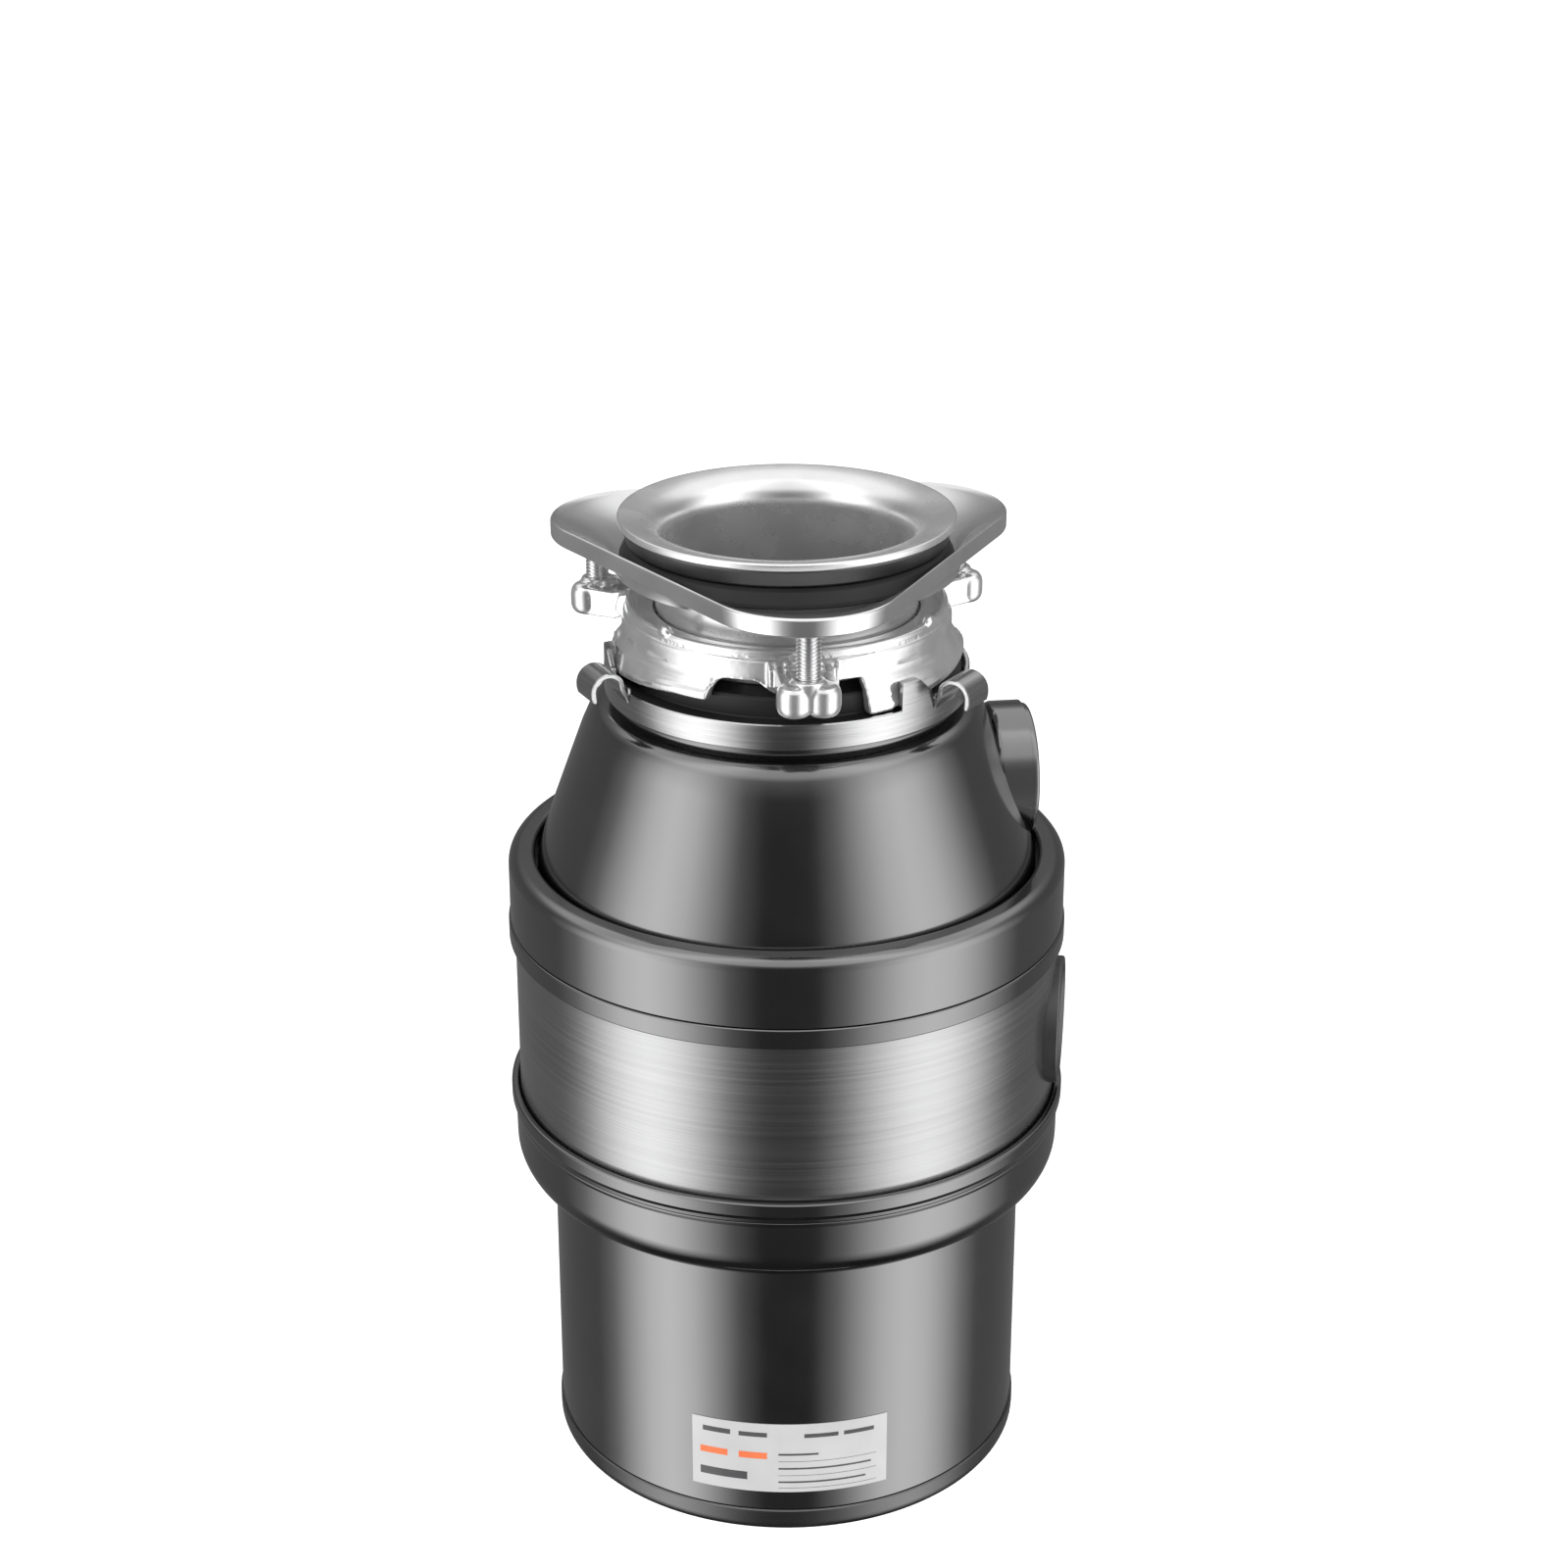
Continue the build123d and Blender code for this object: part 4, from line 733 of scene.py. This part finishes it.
def cone_normal(v, fn, c):
    q = v - Vector((0.0, 0.0, INLZ))
    along = q.dot(Vector(ia))
    off = q - along * Vector(ia)
    if abs(off.length - 24.0) < 0.06 and 68.0 < along < 82.5 and fn.dot(off.normalized()) > 0.85:
        return tuple(off.normalized())
    r = math.hypot(v.x, v.y)
    if v.z > 284.0 or v.z < 224.0 or fn.z < -0.05:
        return None
    rc = math.hypot(c.x, c.y)
    # outer surface only: the face looks away from the axis
    if (fn.x * c.x + fn.y * c.y) / max(rc, 1e-6) < 0.2:
        return None
    pts = [(70.8, 274.0), (75.9, 260.0), (81.3, 245.0), (84.3, 236.0), (86.4, 228.6)]
    for (r0, z0), (r1, z1) in zip(pts, pts[1:]):
        if z1 - 0.01 <= v.z <= z0 + 0.01:
            rr = r0 + (r1 - r0) * (z0 - v.z) / (z0 - z1)
            if abs(r - rr) > 0.12:
                return None
            slope = [0.372, 0.352, 0.352, 0.318, 0.25]
            i = pts.index((r0, z0))
            t = (z0 - v.z) / (z0 - z1)
            k = slope[i] + (slope[i + 1] - slope[i]) * t
            n = Vector((v.x / r, v.y / r, k)).normalized()
            return tuple(n) if n.dot(fn) > 0.95 else None
    return None


finish_cut(hop, M["gloss_black"], "unit", ["hopper"], cone_normal)

bm = bmesh.new()
turned_along(bm, fillet([(0.01, 82.55), (0.01, 84.7), (20.0, 84.9), (22.9, 84.9, 1.6), (22.9, 82.55, 0.2),
                         (19.7, 82.55), (19.7, 77.5, 0.5), (17.0, 77.5), (17.0, 82.2), (0.01, 82.2)]),
             (0, 0, INLZ), ia, 128)
link("inlet_cap_disc", bm, M["gloss_black"], "dishwasher_cap_body", "gloss_black", ["dishwasher_cap"])

# ------------------------------------------------------------------ shells, trims, band
lathe("upper_shell_body", [
    (88.0, 216.1), (88.0, 229.7, 1.6), (97.2, 229.7, 6.6), (97.2, 205.35, 0.5), (94.2, 205.35), (94.2, 223.4),
    (93.2, 225.8), (90.8, 226.8), (90.4, 226.4), (90.4, 216.1)], M["gloss_black"], "unit", "gloss_black",
    ["upper_shell"], n=288, seg=9)
lathe("upper_trim_body", [
    (95.8, 198.2), (97.8, 198.2, 0.6), (97.8, 205.2, 0.7), (93.6, 205.2), (93.6, 201.6), (95.8, 201.6)],
    M["gloss_black"], "unit", "gloss_black", ["upper_trim_ring"], n=288)
lathe("lower_trim_body", [
    (93.6, 133.5), (98.0, 133.5, 0.4), (98.2, 135.0, 0.6), (98.9, 136.4, 0.6), (98.9, 140.9, 0.9),
    (96.6, 140.9, 0.7), (95.8, 139.2, 0.3), (95.8, 135.9), (93.6, 135.9)],
    M["gloss_black"], "unit", "gloss_black", ["lower_trim_ring"], n=288)
bowl = [(94.4, 133.38), (98.0, 133.38, 0.5), (97.5, 131.6, 0.8), (97.4, 121.0)]
for i in range(1, 17):
    t = rad(90 * i / 16)
    bowl.append((84.6 + 12.8 * math.cos(t), 121.0 - 13.0 * math.sin(t)))
bowl += [(84.35, 108.0), (84.35, 111.5), (88.0, 112.2), (91.4, 114.2), (93.6, 117.4), (94.4, 121.0)]
lathe("lower_shell_bowl", bowl, M["gloss_black"], "unit", "gloss_black", ["lower_shell"], n=288)
lathe("motor_can_body", [(82.2, 9.5), (84.2, 9.5, 0.4), (84.2, 113.9), (82.2, 113.9)], M["black_paint"], "unit",
      "black_paint", ["motor_can"], n=256)

# band with the port hole
bm = bmesh.new()
revolve(bm, [(94.7, 136.0), (95.7, 136.0), (95.7, 150.0), (95.7, 184.0), (95.7, 201.5), (94.7, 201.5), (94.7, 184.0),
             (94.7, 150.0)], 288)
band = raw("steel_band_wrap", bm)
b = bmesh.new()
turned_along(b, [(0.01, 80.0), (22.6, 80.0), (22.6, 110.0), (0.01, 110.0)], (0, 0, 167.0), (1, 0, 0), 96)
boolean(band, raw("hole", b), "DIFFERENCE")


def band_normal(v, fn, c):
    r = math.hypot(v.x, v.y)
    d = (fn.x * c.x + fn.y * c.y) / max(1e-6, math.hypot(c.x, c.y))
    if abs(fn.z) > 0.2 or abs(d) < 0.7:
        return None
    s = 1 if d > 0 else -1
    return (s * v.x / r, s * v.y / r, 0.0)


finish_cut(band, M["brushed_band"], "unit", ["steel_band"], band_normal)

bm = bmesh.new()
turned_along(bm, fillet([(21.05, 88.0), (22.5, 88.0), (22.5, 98.2, 0.9), (20.4, 98.2, 0.5), (19.4, 96.6, 0.4),
                         (19.4, 96.1), (21.05, 96.1)]), (0, 0, 167.0), (1, 0, 0), 128)
link("port_rim_grommet", bm, M["rubber"], "unit", "rubber", ["discharge_port_rim"])

# ------------------------------------------------------------------ rating label: blank film with plain rules
LA = -81.0
half = math.degrees(35.0 / 84.2)
bm = bmesh.new()
revolve(bm, [(84.22, 17.0), (84.42, 17.0), (84.42, 45.0), (84.22, 45.0)], 720, LA - half, LA + half)
link("rating_label_film", bm, M["label"], "unit", "label", ["rating_label"])
for name, mat, bars in (
    ("label_rules_grey", M["ink_grey"], [(4, 14, 39.6, 41.6), (17, 27, 39.6, 41.4), (40, 52, 39.4, 41.0),
                                         (54, 65, 39.4, 41.0), (3, 20, 21.6, 24.8), (31, 45, 32.2, 33.0),
                                         (31, 64, 26.4, 27.1), (31, 62, 20.8, 21.5), (31, 66, 29.6, 29.75),
                                         (31, 66, 23.8, 23.95), (31, 66, 18.6, 18.75)]),
    ("label_rules_orange", M["ink_orange"], [(3, 13, 30.6, 33.2), (17, 27, 30.6, 33.2)])):
    bm = bmesh.new()
    for x0, x1, z0, z1 in bars:
        a0 = LA - half + math.degrees(x0 / 84.2)
        a1 = LA - half + math.degrees(x1 / 84.2)
        revolve(bm, [(84.40, z0), (84.455, z0), (84.455, z1), (84.40, z1)], 720, a0, a1)
    link(name, bm, mat, "unit", "label")

# ------------------------------------------------------------------ stage: soft light from the world
def soft_panel(a, centre, half):
    """A light panel that fades evenly from its centre to its edges, by angle round the object."""
    return 0.5 + 0.5 * math.cos(math.pi * min(1.0, abs(a - centre) / half))


# two plain panels, left and right of the camera, and a weak fill; angles in degrees from the camera's side
PANELS = [(a, 0.01 + 0.05 * min(1.0, abs(a) / 90.0) ** 2 + 0.93 * soft_panel(a, -60, 46) + 0.88 * soft_panel(a, 60, 50))
          for a in range(-180, 181, 12)]

world = bpy.data.worlds.new("studio")
bpy.context.scene.world = world
world.use_nodes = True
wn = world.node_tree
bg = next(n for n in wn.nodes if n.type == "BACKGROUND")


def wmath(op, a, b=None, clamp=False):
    n = wn.nodes.new("ShaderNodeMath")
    n.operation = op
    n.use_clamp = clamp
    for i, v in enumerate((a, b)):
        if v is None:
            continue
        if isinstance(v, (int, float)):
            n.inputs[i].default_value = v
        else:
            wn.links.new(v, n.inputs[i])
    return n.outputs[0]


def wramp(fac, stops):
    n = wn.nodes.new("ShaderNodeValToRGB")
    n.color_ramp.interpolation = "LINEAR"
    el = n.color_ramp.elements
    while len(el) > 1:
        el.remove(el[-1])
    el[0].position = stops[0][0]
    el[0].color = (stops[0][1],) * 3 + (1,)
    for pos, v in stops[1:]:
        e = el.new(pos)
        e.color = (v, v, v, 1)
    wn.links.new(fac, n.inputs["Fac"])
    return n.outputs["Color"]


# the studio seen in reflections: soft light panels that fade round the object, dark floor, bright overhead
tcw = wn.nodes.new("ShaderNodeTexCoord")
turn = wn.nodes.new("ShaderNodeVectorRotate")
turn.rotation_type = "Z_AXIS"
turn.inputs["Angle"].default_value = rad(90 - TURN)
wn.links.new(tcw.outputs["Generated"], turn.inputs["Vector"])
sep = wn.nodes.new("ShaderNodeSeparateXYZ")
wn.links.new(turn.outputs[0], sep.inputs[0])
azim = wmath("ARCTAN2", sep.outputs["Y"], sep.outputs["X"])
afac = wmath("MULTIPLY_ADD", azim, 1 / (2 * math.pi))
afac.node.inputs[2].default_value = 0.5
zfac = wmath("MULTIPLY_ADD", sep.outputs["Z"], 0.5)
zfac.node.inputs[2].default_value = 0.5


def at(deg):
    return 0.5 + deg / 360.0


panels = wramp(afac, [(at(a), v) for a, v in PANELS])
height = wramp(zfac, [(0.0, 0.0), (0.04, 0.0), (0.20, 1.0), (0.62, 1.0), (0.80, 0.45), (1.0, 0.25)])
over = wramp(zfac, [(0.0, 0.004), (0.65, 0.007), (0.75, 0.10), (0.83, 0.42), (1.0, 0.46)])
pm = wn.nodes.new("ShaderNodeMix")
pm.data_type = "RGBA"
pm.blend_type = "MULTIPLY"
pm.inputs["Factor"].default_value = 1.0
wn.links.new(panels, pm.inputs["A"])
wn.links.new(height, pm.inputs["B"])
am = wn.nodes.new("ShaderNodeMix")
am.data_type = "RGBA"
am.blend_type = "ADD"
am.inputs["Factor"].default_value = 1.0
wn.links.new(pm.outputs["Result"], am.inputs["A"])
wn.links.new(over, am.inputs["B"])
scale_n = wn.nodes.new("ShaderNodeVectorMath")
scale_n.operation = "SCALE"
scale_n.inputs["Scale"].default_value = 2.5
wn.links.new(am.outputs["Result"], scale_n.inputs[0])
lp = wn.nodes.new("ShaderNodeLightPath")
mx = wn.nodes.new("ShaderNodeMix")
mx.data_type = "RGBA"
mx.inputs["A"].default_value = (1.36, 1.36, 1.36, 1)
wn.links.new(lp.outputs["Is Glossy Ray"], mx.inputs["Factor"])
wn.links.new(scale_n.outputs[0], mx.inputs["B"])
wn.links.new(mx.outputs["Result"], bg.inputs["Color"])
bg.inputs["Strength"].default_value = 1.0

bpy.context.scene.view_settings.view_transform = "Standard"
bpy.context.scene.view_settings.look = "None"
